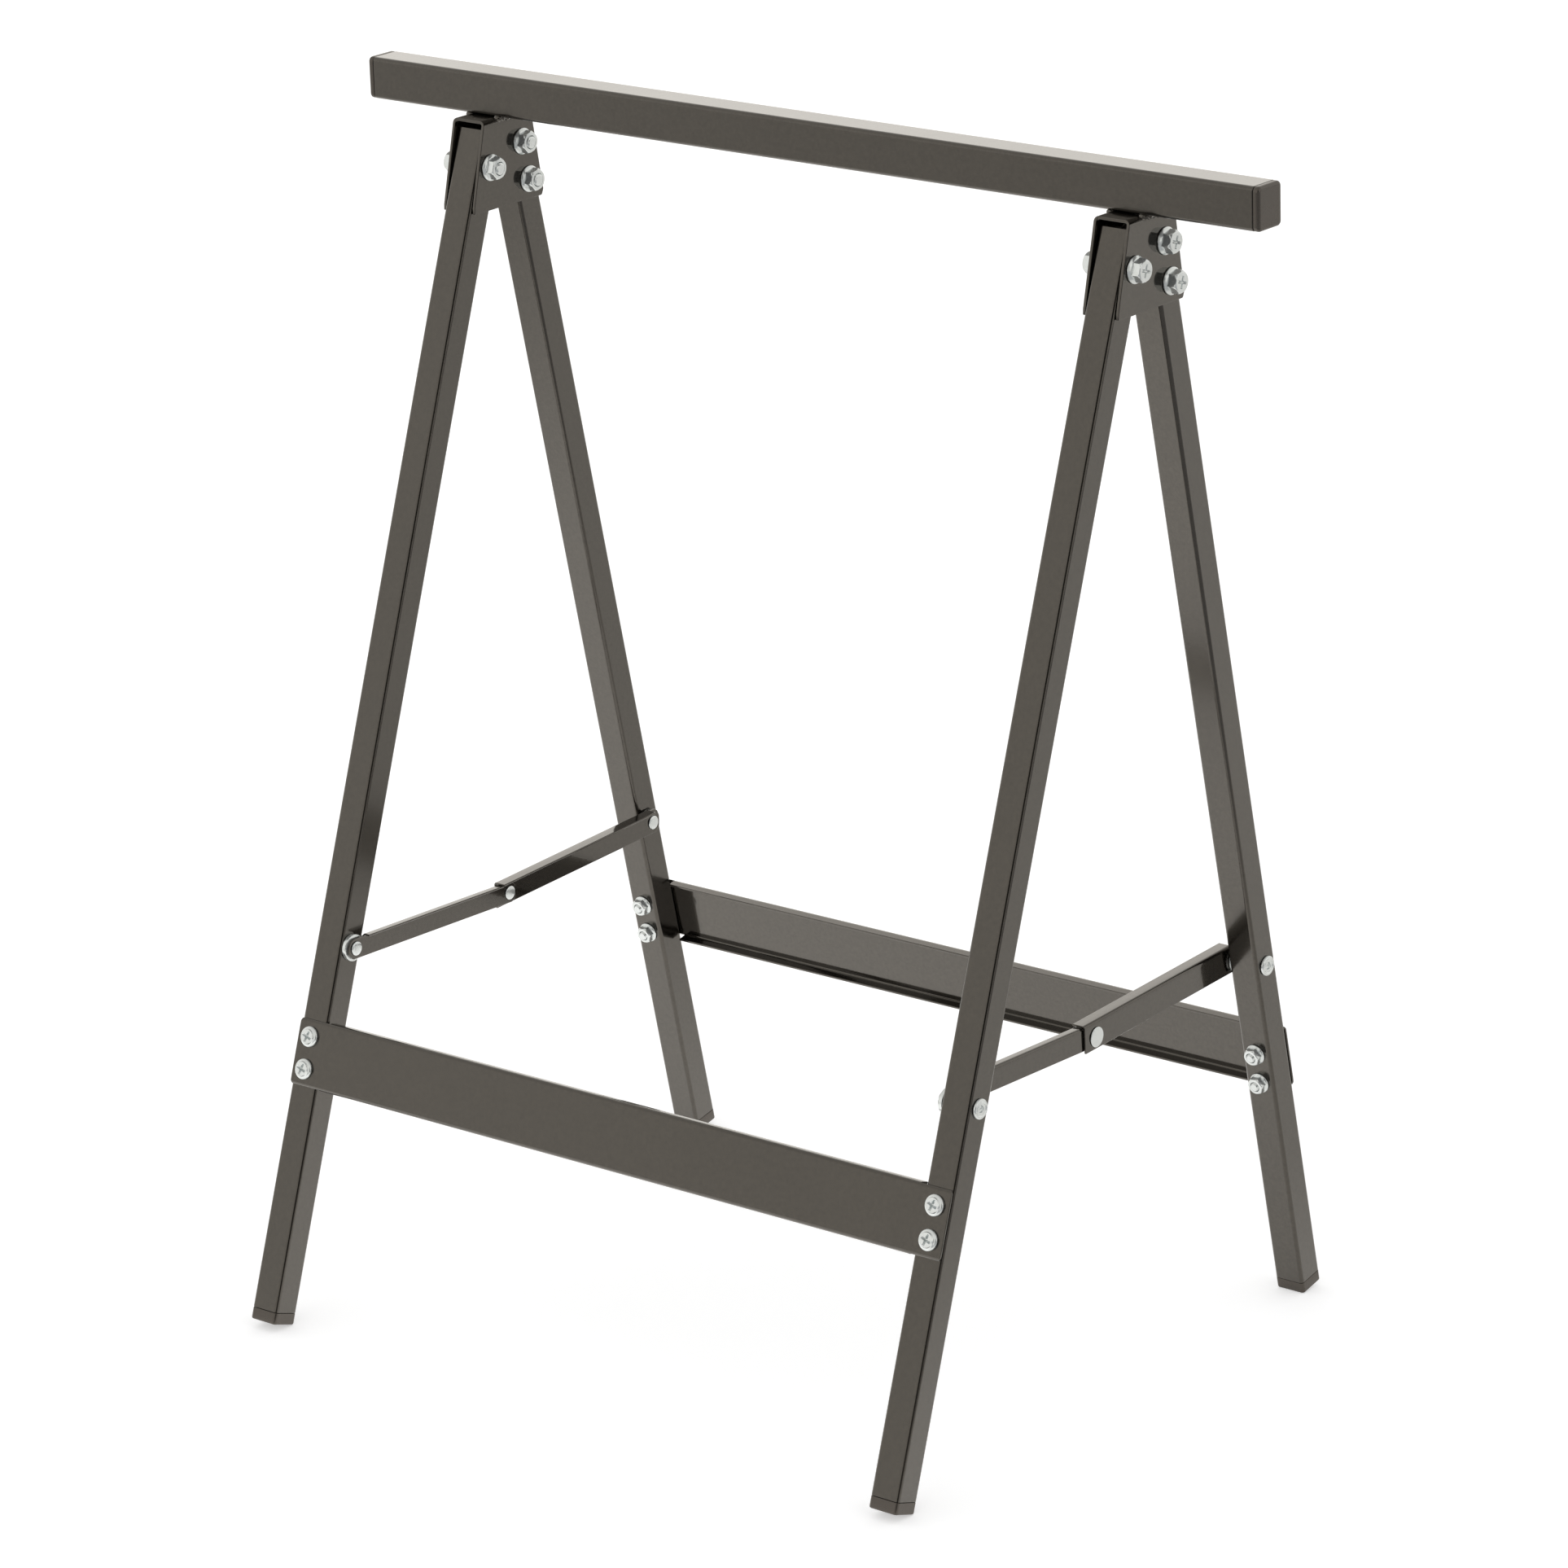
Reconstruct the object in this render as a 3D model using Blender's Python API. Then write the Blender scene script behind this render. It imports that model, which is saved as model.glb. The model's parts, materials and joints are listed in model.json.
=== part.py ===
# Folding steel work trestle: a tube beam on two folded head brackets, a fixed
# rear leg frame, a front leg frame that hinges at the brackets, and a two-link
# stay on each side that locks the frames apart.
# Metres, +Z up. X runs along the beam, Y from the front frame to the rear frame.
# The origin is on the floor, in the middle of the trestle's footprint.

import math

import bmesh
import bpy
from mathutils import Matrix, Vector

# Gap between pieces that touch, and the wider gap round what turns.
SEAT = 0.0003
TURN = 0.0005

# Beam: rectangular tube with a plastic plug in each end.
BEAM_LENGTH = 0.680
BEAM_WIDTH = 0.0232
BEAM_HEIGHT = 0.0265
BEAM_WALL = 0.0015
BEAM_CORNER = 0.0025
TOP_HEIGHT = 0.754
CAP_FLANGE = 0.004
CAP_PLUG = 0.014
CAP_RIM = 0.0014
CAP_EASE = 0.0008
PLUG_WALL = 0.0016

# Legs: square tube, square-cut at the foot.
LEG_WIDTH = 0.0206
LEG_DEPTH = 0.0193
LEG_WALL = 0.0013
LEG_CORNER = 0.0022
LEG_SPACING = 0.4924
FRONT_TILT = math.radians(19.1)
REAR_TILT = math.radians(11.8)
FRONT_LEG_ABOVE_PIVOT = 0.0215
REAR_LEG_ABOVE_PIVOT = 0.0195
FOOT_HEIGHT = 0.0075
FOOT_PLUG = 0.016
FOOT_EDGE = 0.0012

# Head bracket: sheet folded to an upside-down U, its cheeks outside the legs.
SHEET = 0.0020
BRACKET_BEND = 0.0035
BRACKET_DROP = 0.0570
BRACKET_TOP_FRONT = 0.0240
BRACKET_TOP_REAR = 0.0200
BRACKET_TOE_FRONT = 0.0375
BRACKET_TOE_REAR = 0.0295
BRACKET_TOE_ROUND = 0.0040
PIVOT_DROP = 0.0300
PIVOT_FRONT = 0.0200
REAR_AXIS_BACK = 0.0125
UPPER_BOLT_UP = 0.0110
LOWER_BOLT_DOWN = 0.0145

# Head bolts and their flange nuts.
HEAD_SHANK = 0.0038
HEAD_FLANGE = 0.0084
HEAD_FLANGE_THICK = 0.0015
HEAD_HEX = 0.0063
HEAD_HEX_HEIGHT = 0.0062
NUT_HEX_HEIGHT = 0.0058
BOLT_TAIL = 0.0010
TAIL_EASE = 0.0006
HEX_EASE = 0.0008
FLANGE_EASE = 0.0004

# Rails: pressed channel laid on the legs' outer faces.
RAIL_HEIGHT = 0.0432
RAIL_SHEET = 0.0015
RAIL_FLANGE = 0.0075
RAIL_BEND = 0.0028
RAIL_END_ROUND = 0.0035
RAIL_END_INSET = 0.0003
RAIL_NOTCH = 0.0030
FRONT_RAIL_UP = 0.1718
REAR_RAIL_UP = 0.1637
RAIL_BOLT_PITCH = 0.0206
RAIL_SHANK = 0.0028
PAN_RADIUS = 0.0066
PAN_HEIGHT = 0.0034
PAN_RIM = 0.0012
RAIL_NUT_FLANGE = 0.0066
RAIL_NUT_FLANGE_THICK = 0.0012
RAIL_NUT_HEX = 0.0050
RAIL_NUT_HEX_HEIGHT = 0.0044

# Folding stays: two nested angles, joined by a middle rivet. Each has its cheek beside the leg.
STAY_UP = 0.2312
STAY_SAG = 0.0058
STAY_SHEET = 0.0012
STAY_REAR_WIDTH = 0.0090
STAY_REAR_ABOVE = 0.0103
STAY_REAR_BELOW = 0.0076
STAY_NEST = 0.0012
STAY_FRONT_WIDTH = 0.0056
STAY_FRONT_BELOW = 0.0069
STAY_BEND = 0.0020
STAY_REAR_WEB_START = 0.0050
STAY_REAR_PAST_MIDDLE = 0.0112
STAY_FRONT_WEB_START = 0.0100
STAY_FRONT_WEB_STOP = 0.0075
STAY_END = 0.0068
STAY_END_ROUND = 0.0060
STAY_SQUARE_CORNER = 0.0008
RIVET_SHANK = 0.0025
RIVET_TAIL = 0.0045
RIVET_TAIL_HEIGHT = 0.0012
RIVET_HEAD = 0.0063
RIVET_HEAD_HEIGHT = 0.0018
MIDDLE_HEAD_HEIGHT = 0.0009
RIVET_RIM = 0.0004
WASHER_RADIUS = 0.0085
WASHER_THICK = 0.0012

# Facets of the round pieces.
NUT_SIDES = 12
DOME_STEPS = 4
CORNER_POINTS = 4
CORNER_SEAM = math.radians(35.0)
TINY = 1e-6

# Places that follow from the sizes.
BEAM_UNDERSIDE = TOP_HEIGHT - BEAM_HEIGHT
PIVOT_HEIGHT = BEAM_UNDERSIDE - PIVOT_DROP


def drop_to_floor(tilt):
    """Distance down a leg's axis from the pivot's height to its sole, eased at the edge on the floor."""
    return (PIVOT_HEIGHT - math.sin(tilt) * (LEG_DEPTH / 2 - FOOT_EDGE)) / math.cos(tilt)


def foot_reach(tilt):
    """How far a leg's outer foot edge stands out from its axis at the pivot's height."""
    return (drop_to_floor(tilt) - FOOT_EDGE) * math.sin(tilt) + math.cos(tilt) * LEG_DEPTH / 2


FRONT_DROP = drop_to_floor(FRONT_TILT)
REAR_DROP = drop_to_floor(REAR_TILT)
FRONT_REACH = PIVOT_FRONT + foot_reach(FRONT_TILT)
REAR_REACH = REAR_AXIS_BACK + foot_reach(REAR_TILT)
BEAM_Y = (FRONT_REACH - REAR_REACH) / 2
FRONT_AXIS = Vector((0.0, BEAM_Y - PIVOT_FRONT, PIVOT_HEIGHT))
REAR_AXIS = Vector((0.0, BEAM_Y + REAR_AXIS_BACK, PIVOT_HEIGHT))
STAY_DROP = PIVOT_HEIGHT - STAY_UP
STAY_FRONT_END = FRONT_AXIS + Vector((0.0, -STAY_DROP * math.tan(FRONT_TILT), -STAY_DROP))
STAY_REAR_END = REAR_AXIS + Vector((0.0, STAY_DROP * math.tan(REAR_TILT), -STAY_DROP))
STAY_SPAN = STAY_REAR_END.y - STAY_FRONT_END.y
STAY_MIDDLE = Vector((0.0, (STAY_REAR_END.y + STAY_FRONT_END.y) / 2, STAY_UP - STAY_SAG))
STAY_LINK = math.hypot(STAY_SPAN / 2, STAY_SAG)
STAY_SLOPE = math.atan2(STAY_SAG, STAY_SPAN / 2)
CHEEK_OUT = LEG_WIDTH / 2 + TURN + SHEET
STAY_REAR_NEAR = WASHER_THICK + 2 * SEAT
STAY_FRONT_NEAR = STAY_REAR_NEAR + STAY_SHEET + SEAT
STAY_FRONT_ABOVE = STAY_REAR_ABOVE - STAY_SHEET - STAY_NEST
SIDES = (("left", -1), ("right", 1))


def clear_scene():
    for item in list(bpy.data.objects):
        bpy.data.objects.remove(item, do_unlink=True)


def surface(name, color, metallic, roughness):
    """A Principled material."""
    made = bpy.data.materials.new(name)
    made.use_nodes = True
    shader = made.node_tree.nodes["Principled BSDF"]
    shader.inputs["Base Color"].default_value = (*color, 1.0)
    shader.inputs["Metallic"].default_value = metallic
    shader.inputs["Roughness"].default_value = roughness
    made.diffuse_color = (*color, 1.0)
    return made


def frame_empty(name, place, turn):
    """An empty on a joint's axis that carries the pieces which move with it."""
    empty = bpy.data.objects.new(name, None)
    empty.empty_display_size = 0.03
    empty.location = place
    empty.rotation_euler = (turn, 0.0, 0.0)
    bpy.context.collection.objects.link(empty)
    return empty


def loft(name, loops, finish, parent=None, place=(0, 0, 0), turn=0.0, ring=False):
    """A closed solid through loops of equal length. A ring joins its last loop to its first."""
    grid = bmesh.new()
    rows = [[grid.verts.new(point) for point in loop] for loop in loops]
    pairs = list(zip(rows, rows[1:]))
    if ring:
        pairs.append((rows[-1], rows[0]))
    for low, high in pairs:
        for i in range(len(low)):
            j = (i + 1) % len(low)
            grid.faces.new((low[i], low[j], high[j], high[i]))
    if not ring:
        grid.faces.new(rows[0])
        grid.faces.new(rows[-1])
    bmesh.ops.recalc_face_normals(grid, faces=grid.faces[:])
    mesh = bpy.data.meshes.new(name)
    grid.to_mesh(mesh)
    grid.free()
    mesh.shade_smooth()
    mesh.set_sharp_from_angle(angle=CORNER_SEAM)
    if finish is not None:
        mesh.materials.append(finish)
    item = bpy.data.objects.new(name, mesh)
    item.parent = parent
    item.location = place
    item.rotation_euler = (turn, 0.0, 0.0)
    bpy.context.collection.objects.link(item)
    return item


def cutter(name, loops, parent, place=(0, 0, 0), turn=0.0):
    """A hidden solid that a Boolean reads."""
    item = loft(name, loops, None, parent, place, turn)
    item.hide_render = True
    item.display_type = "WIRE"
    return item


def boolean(item, tool, operation):
    """Leaves an exact Boolean on the item."""
    step = item.modifiers.new(tool.name, "BOOLEAN")
    step.operation = operation
    step.object = tool
    step.solver = "EXACT"


def rounded_box(width, depth, radius, points=CORNER_POINTS):
    """Corners of a rounded rectangle in a plane, round its centre."""
    loop = []
    for index, (sx, sy) in enumerate(((1, 1), (-1, 1), (-1, -1), (1, -1))):
        for step in range(points):
            angle = math.pi / 2 * (index + step / (points - 1))
            x = sx * (width / 2 - radius) + radius * math.cos(angle)
            y = sy * (depth / 2 - radius) + radius * math.sin(angle)
            loop.append((x, y))
    return loop


def rounded_outline(corners, points=CORNER_POINTS):
    """An outline through corners given as (a, b, radius), each turned by an arc of that radius."""
    loop = []
    count = len(corners)
    for index, (a, b, radius) in enumerate(corners):
        here = Vector((a, b))
        before = (Vector(corners[index - 1][:2]) - here).normalized()
        after = (Vector(corners[(index + 1) % count][:2]) - here).normalized()
        if radius <= 0.0:
            loop.append((a, b))
            continue
        half = before.angle(after) / 2
        centre = here + (before + after).normalized() * (radius / math.sin(half))
        start = here + before * (radius / math.tan(half)) - centre
        stop = here + after * (radius / math.tan(half)) - centre
        sweep = start.angle_signed(stop)
        for step in range(points):
            turned = Matrix.Rotation(-sweep * step / (points - 1), 2) @ start
            loop.append(tuple(centre + turned))
    return loop


def circle(radius, sides):
    angles = [2 * math.pi * i / sides for i in range(sides)]
    return [(radius * math.cos(angle), radius * math.sin(angle)) for angle in angles]


def dome(radius, height, rim):
    """Circles and their heights over a domed head, from its flat tip out and down to the top of its rim."""
    angles = [math.pi / 2 * step / DOME_STEPS for step in range(1, DOME_STEPS + 1)]
    return [(circle(radius * math.sin(a), NUT_SIDES), rim + (height - rim) * math.cos(a)) for a in angles]


def hexagon(inner_radius, sides):
    """A hexagon with its flats inner_radius away, with points along its sides to match a circle."""
    loop = []
    for i in range(sides):
        angle = 2 * math.pi * i / sides
        flat = math.pi / 3 * math.floor(angle / (math.pi / 3) + TINY) + math.pi / 6
        radius = inner_radius / math.cos(angle - flat)
        loop.append((radius * math.cos(angle), radius * math.sin(angle)))
    return loop


def along_x(loop, x):
    return [(x, a, b) for a, b in loop]


def along_y(loop, y):
    return [(a, y, b) for a, b in loop]


def along_z(loop, z):
    return [(a, b, z) for a, b in loop]


def make_beam(finish):
    """The tube that the work rests on, open at both ends for the plugs."""
    reach = BEAM_LENGTH / 2 - CAP_FLANGE - SEAT
    outer = rounded_box(BEAM_WIDTH, BEAM_HEIGHT, BEAM_CORNER)
    inner = beam_bore(0.0)
    loops = [along_x(outer, -reach), along_x(outer, reach), along_x(inner, reach), along_x(inner, -reach)]
    centre = (0.0, BEAM_Y, TOP_HEIGHT - BEAM_HEIGHT / 2)
    return loft("beam", loops, finish, place=centre, ring=True)


def beam_bore(gap):
    """The tube's inside, drawn in by a gap."""
    wall = BEAM_WALL + gap
    return rounded_box(BEAM_WIDTH - 2 * wall, BEAM_HEIGHT - 2 * wall, BEAM_CORNER - BEAM_WALL / 2)


def make_beam_cap(name, side, finish):
    """An end plug: a flange as large as the tube, eased outside, and a hollow shank inside the tube."""
    end = side * BEAM_LENGTH / 2
    face = end - side * CAP_FLANGE
    outer = rounded_box(BEAM_WIDTH, BEAM_HEIGHT, BEAM_CORNER)
    ease = rounded_box(BEAM_WIDTH - 2 * CAP_EASE, BEAM_HEIGHT - 2 * CAP_EASE, BEAM_CORNER - CAP_EASE)
    shank = beam_bore(SEAT)
    hollow = beam_bore(SEAT + PLUG_WALL)
    tip = face - side * CAP_PLUG
    loops = [
        along_x(ease, end),
        along_x(outer, end - side * CAP_RIM),
        along_x(outer, face),
        along_x(shank, face),
        along_x(shank, tip),
        along_x(hollow, tip),
        along_x(hollow, face),
    ]
    return loft(name, loops, finish, place=(0.0, BEAM_Y, TOP_HEIGHT - BEAM_HEIGHT / 2))


def leg_section():
    return rounded_box(LEG_WIDTH, LEG_DEPTH, LEG_CORNER)


def leg_bore(gap):
    wall = LEG_WALL + gap
    return rounded_box(LEG_WIDTH - 2 * wall, LEG_DEPTH - 2 * wall, LEG_CORNER - LEG_WALL / 2)


def cross_hole(name, parent, x, z, radius):
    """A cutter through a leg from side to side."""
    reach = LEG_WIDTH
    hole = circle(radius, NUT_SIDES)
    return cutter(name, [along_x(hole, -reach), along_x(hole, reach)], parent, (x, 0.0, z))


def through_hole(name, parent, x, z, radius):
    """A cutter through a leg from its outer face to its inner face."""
    reach = LEG_DEPTH
    hole = circle(radius, NUT_SIDES)
    return cutter(name, [along_y(hole, -reach), along_y(hole, reach)], parent, (x, 0.0, z))


def make_leg(name, carrier, x, drop, top, cross_holes, through_holes, finish):
    """A tube hung on its carrier, with bolt holes at heights measured from the pivot's level."""
    low = -drop + FOOT_HEIGHT + SEAT
    section = leg_section()
    bore = leg_bore(0.0)
    loops = [along_z(section, low), along_z(section, top), along_z(bore, top), along_z(bore, low)]
    leg = loft(name, loops, finish, carrier, (x, 0.0, 0.0), ring=True)
    for index, (z, radius) in enumerate(cross_holes):
        boolean(leg, cross_hole(f"{name}_cross_hole_{index}", carrier, x, z, radius), "DIFFERENCE")
    for index, (z, radius) in enumerate(through_holes):
        boolean(leg, through_hole(f"{name}_through_hole_{index}", carrier, x, z, radius), "DIFFERENCE")
    return leg


def make_foot(name, carrier, x, drop, finish):
    """A foot plug: a block flush with the tube, eased at the floor, with a hollow shank up inside."""
    section = leg_section()
    sole = rounded_box(LEG_WIDTH - 2 * FOOT_EDGE, LEG_DEPTH - 2 * FOOT_EDGE, LEG_CORNER - FOOT_EDGE / 2)
    shank = leg_bore(SEAT)
    hollow = leg_bore(SEAT + PLUG_WALL)
    face = -drop + FOOT_HEIGHT
    tip = face + FOOT_PLUG
    loops = [
        along_z(sole, -drop),
        along_z(section, -drop + FOOT_EDGE),
        along_z(section, face),
        along_z(shank, face),
        along_z(shank, tip),
        along_z(hollow, tip),
        along_z(hollow, face),
    ]
    return loft(name, loops, finish, carrier, (x, 0.0, 0.0))


def make_bracket(name, side, finish):
    """A head bracket: folded over the leg tops, cut to the cheek outline, bored for its three bolts."""
    top = -SEAT
    deep = BRACKET_DROP + 2 * SHEET
    place = (side * LEG_SPACING / 2, BEAM_Y, BEAM_UNDERSIDE)
    block = rounded_outline(
        [
            (CHEEK_OUT, -deep, 0.0),
            (CHEEK_OUT, top, BRACKET_BEND),
            (-CHEEK_OUT, top, BRACKET_BEND),
            (-CHEEK_OUT, -deep, 0.0),
        ]
    )
    inside = CHEEK_OUT - SHEET
    hollow = rounded_outline(
        [
            (inside, -deep - SHEET, 0.0),
            (inside, top - SHEET, BRACKET_BEND - SHEET),
            (-inside, top - SHEET, BRACKET_BEND - SHEET),
            (-inside, -deep - SHEET, 0.0),
        ]
    )
    front = BRACKET_TOE_FRONT + SHEET
    rear = BRACKET_TOE_REAR + SHEET
    bracket = loft(name, [along_y(block, -front), along_y(block, rear)], finish, place=place)
    outline = rounded_outline(
        [
            (-BRACKET_TOP_FRONT, SHEET, 0.0),
            (-BRACKET_TOE_FRONT, -BRACKET_DROP, BRACKET_TOE_ROUND / 2),
            (BRACKET_TOE_REAR, -BRACKET_DROP, BRACKET_TOE_ROUND),
            (BRACKET_TOP_REAR, SHEET, 0.0),
        ]
    )
    reach = CHEEK_OUT + SHEET
    cheek = cutter(name + "_outline", [along_x(outline, -reach), along_x(outline, reach)], None, place)
    boolean(bracket, cheek, "INTERSECT")
    room_loops = [along_y(hollow, -front - SHEET), along_y(hollow, rear + SHEET)]
    room = cutter(name + "_room", room_loops, None, place)
    boolean(bracket, room, "DIFFERENCE")
    for part_name, y, z in head_bolt_places():
        hole = circle(HEAD_SHANK + SEAT, NUT_SIDES)
        loops = [along_x(hole, -reach), along_x(hole, reach)]
        spot = (side * LEG_SPACING / 2, y, z)
        boolean(bracket, cutter(f"{name}_{part_name}_hole", loops, None, spot), "DIFFERENCE")
    return bracket


def head_bolt_places():
    """Name, Y and Z of each head bolt: the front pivot and two on the rear leg's axis."""
    places = [("pivot", FRONT_AXIS.y, FRONT_AXIS.z)]
    for part_name, up in (("upper", UPPER_BOLT_UP), ("lower", -LOWER_BOLT_DOWN)):
        y = REAR_AXIS.y - up * math.sin(REAR_TILT)
        places.append((part_name, y, REAR_AXIS.z + up * math.cos(REAR_TILT)))
    return places


def make_head_bolt(name, side, y, z, finish):
    """A flange-head hex bolt, entered from the outer cheek."""
    seat = CHEEK_OUT + SEAT
    nut_end = seat + HEAD_FLANGE_THICK + NUT_HEX_HEIGHT + BOLT_TAIL
    hex_foot = seat + HEAD_FLANGE_THICK
    hex_top = hex_foot + HEAD_HEX_HEIGHT
    stations = (
        (hexagon(HEAD_HEX - HEX_EASE, NUT_SIDES), hex_top),
        (hexagon(HEAD_HEX, NUT_SIDES), hex_top - HEX_EASE),
        (hexagon(HEAD_HEX, NUT_SIDES), hex_foot),
        (circle(HEAD_FLANGE - FLANGE_EASE, NUT_SIDES), hex_foot - FLANGE_EASE),
        (circle(HEAD_FLANGE, NUT_SIDES), seat),
        (circle(HEAD_SHANK, NUT_SIDES), seat),
        (circle(HEAD_SHANK, NUT_SIDES), -nut_end + TAIL_EASE),
        (circle(HEAD_SHANK - TAIL_EASE, NUT_SIDES), -nut_end),
    )
    loops = [along_x(loop, side * x) for loop, x in stations]
    return loft(name, loops, finish, place=(side * LEG_SPACING / 2, y, z))


def make_head_nut(name, side, y, z, finish):
    """A flange nut on the inner cheek."""
    seat = CHEEK_OUT + SEAT
    bore = HEAD_SHANK + SEAT
    hex_foot = seat + HEAD_FLANGE_THICK
    hex_top = hex_foot + NUT_HEX_HEIGHT
    stations = (
        (circle(bore, NUT_SIDES), seat),
        (circle(HEAD_FLANGE, NUT_SIDES), seat),
        (circle(HEAD_FLANGE - FLANGE_EASE, NUT_SIDES), hex_foot - FLANGE_EASE),
        (hexagon(HEAD_HEX, NUT_SIDES), hex_foot),
        (hexagon(HEAD_HEX, NUT_SIDES), hex_top - HEX_EASE),
        (hexagon(HEAD_HEX - HEX_EASE, NUT_SIDES), hex_top),
        (circle(bore, NUT_SIDES), hex_top),
    )
    loops = [along_x(loop, -side * x) for loop, x in stations]
    return loft(name, loops, finish, place=(side * LEG_SPACING / 2, y, z), ring=True)


def make_rail(name, carrier, height, outward, finish):
    """A pressed channel on the legs' outer faces. Its flanges stop short of the legs, its web laps them."""
    face = LEG_DEPTH / 2 + SEAT
    back = face + RAIL_SHEET
    half = RAIL_HEIGHT / 2
    reach = LEG_SPACING / 2 + LEG_WIDTH / 2 - RAIL_END_INSET
    flange_reach = LEG_SPACING / 2 - LEG_WIDTH / 2 - RAIL_NOTCH
    edge = back - RAIL_FLANGE
    outside = rounded_outline(
        [
            (outward * edge, -half, 0.0),
            (outward * back, -half, RAIL_BEND),
            (outward * back, half, RAIL_BEND),
            (outward * edge, half, 0.0),
        ]
    )
    inner_bend = RAIL_BEND - RAIL_SHEET
    hollow_half = half - RAIL_SHEET
    room = rounded_outline(
        [
            (outward * (edge - RAIL_SHEET), -hollow_half, 0.0),
            (outward * face, -hollow_half, inner_bend),
            (outward * face, hollow_half, inner_bend),
            (outward * (edge - RAIL_SHEET), hollow_half, 0.0),
        ]
    )
    spot = (0.0, 0.0, height)
    rail = loft(name, [along_x(outside, -reach), along_x(outside, reach)], finish, carrier, spot)
    inside = [along_x(room, -reach - RAIL_SHEET), along_x(room, reach + RAIL_SHEET)]
    boolean(rail, cutter(name + "_room", inside, carrier, spot), "DIFFERENCE")
    plate = rounded_box(2 * reach, RAIL_HEIGHT, RAIL_END_ROUND)
    deep = 2 * RAIL_FLANGE
    outline = [along_y(plate, outward * (back - deep)), along_y(plate, outward * (back + deep))]
    boolean(rail, cutter(name + "_outline", outline, carrier, spot), "INTERSECT")
    for side_name, side in SIDES:
        notch_middle = side * (flange_reach + LEG_WIDTH)
        block = rounded_box(2 * LEG_WIDTH, 2 * RAIL_HEIGHT, RAIL_SHEET)
        loops = [along_y(block, outward * (edge - RAIL_SHEET)), along_y(block, outward * face)]
        notch = cutter(f"{name}_{side_name}_notch", loops, carrier, (notch_middle, 0.0, height))
        boolean(rail, notch, "DIFFERENCE")
        for part_name, shift in rail_bolt_shifts():
            hole = circle(RAIL_SHANK + SEAT, NUT_SIDES)
            inner, outer = face - RAIL_SHEET, back + RAIL_SHEET
            loops = [along_y(hole, outward * inner), along_y(hole, outward * outer)]
            spot_hole = (side * LEG_SPACING / 2, 0.0, height + shift)
            hole_name = f"{name}_{side_name}_{part_name}_hole"
            boolean(rail, cutter(hole_name, loops, carrier, spot_hole), "DIFFERENCE")
    return rail


def rail_bolt_shifts():
    return (("upper", RAIL_BOLT_PITCH / 2), ("lower", -RAIL_BOLT_PITCH / 2))


def make_rail_bolt(name, carrier, x, z, outward, finish):
    """A pan-head bolt from the rail's outside, through the leg."""
    seat = LEG_DEPTH / 2 + RAIL_SHEET + 2 * SEAT
    nut_end = LEG_DEPTH / 2 + SEAT + RAIL_NUT_FLANGE_THICK + RAIL_NUT_HEX_HEIGHT + BOLT_TAIL
    stations = [(loop, seat + height) for loop, height in dome(PAN_RADIUS, PAN_HEIGHT, PAN_RIM)]
    stations.append((circle(PAN_RADIUS, NUT_SIDES), seat))
    stations.append((circle(RAIL_SHANK, NUT_SIDES), seat))
    stations.append((circle(RAIL_SHANK, NUT_SIDES), -nut_end + TAIL_EASE))
    stations.append((circle(RAIL_SHANK - TAIL_EASE, NUT_SIDES), -nut_end))
    loops = [along_y(loop, outward * y) for loop, y in stations]
    return loft(name, loops, finish, carrier, (x, 0.0, z))


def make_rail_nut(name, carrier, x, z, outward, finish):
    """A flange nut on the leg's inner face."""
    seat = LEG_DEPTH / 2 + SEAT
    bore = RAIL_SHANK + SEAT
    top = seat + RAIL_NUT_FLANGE_THICK + RAIL_NUT_HEX_HEIGHT
    stations = (
        (circle(bore, NUT_SIDES), seat),
        (circle(RAIL_NUT_FLANGE, NUT_SIDES), seat),
        (circle(RAIL_NUT_FLANGE - FLANGE_EASE, NUT_SIDES), seat + RAIL_NUT_FLANGE_THICK - FLANGE_EASE),
        (hexagon(RAIL_NUT_HEX, NUT_SIDES), seat + RAIL_NUT_FLANGE_THICK),
        (hexagon(RAIL_NUT_HEX, NUT_SIDES), top - HEX_EASE),
        (hexagon(RAIL_NUT_HEX - HEX_EASE, NUT_SIDES), top),
        (circle(bore, NUT_SIDES), top),
    )
    loops = [along_y(loop, -outward * y) for loop, y in stations]
    return loft(name, loops, finish, carrier, (x, 0.0, z), ring=True)


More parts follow.
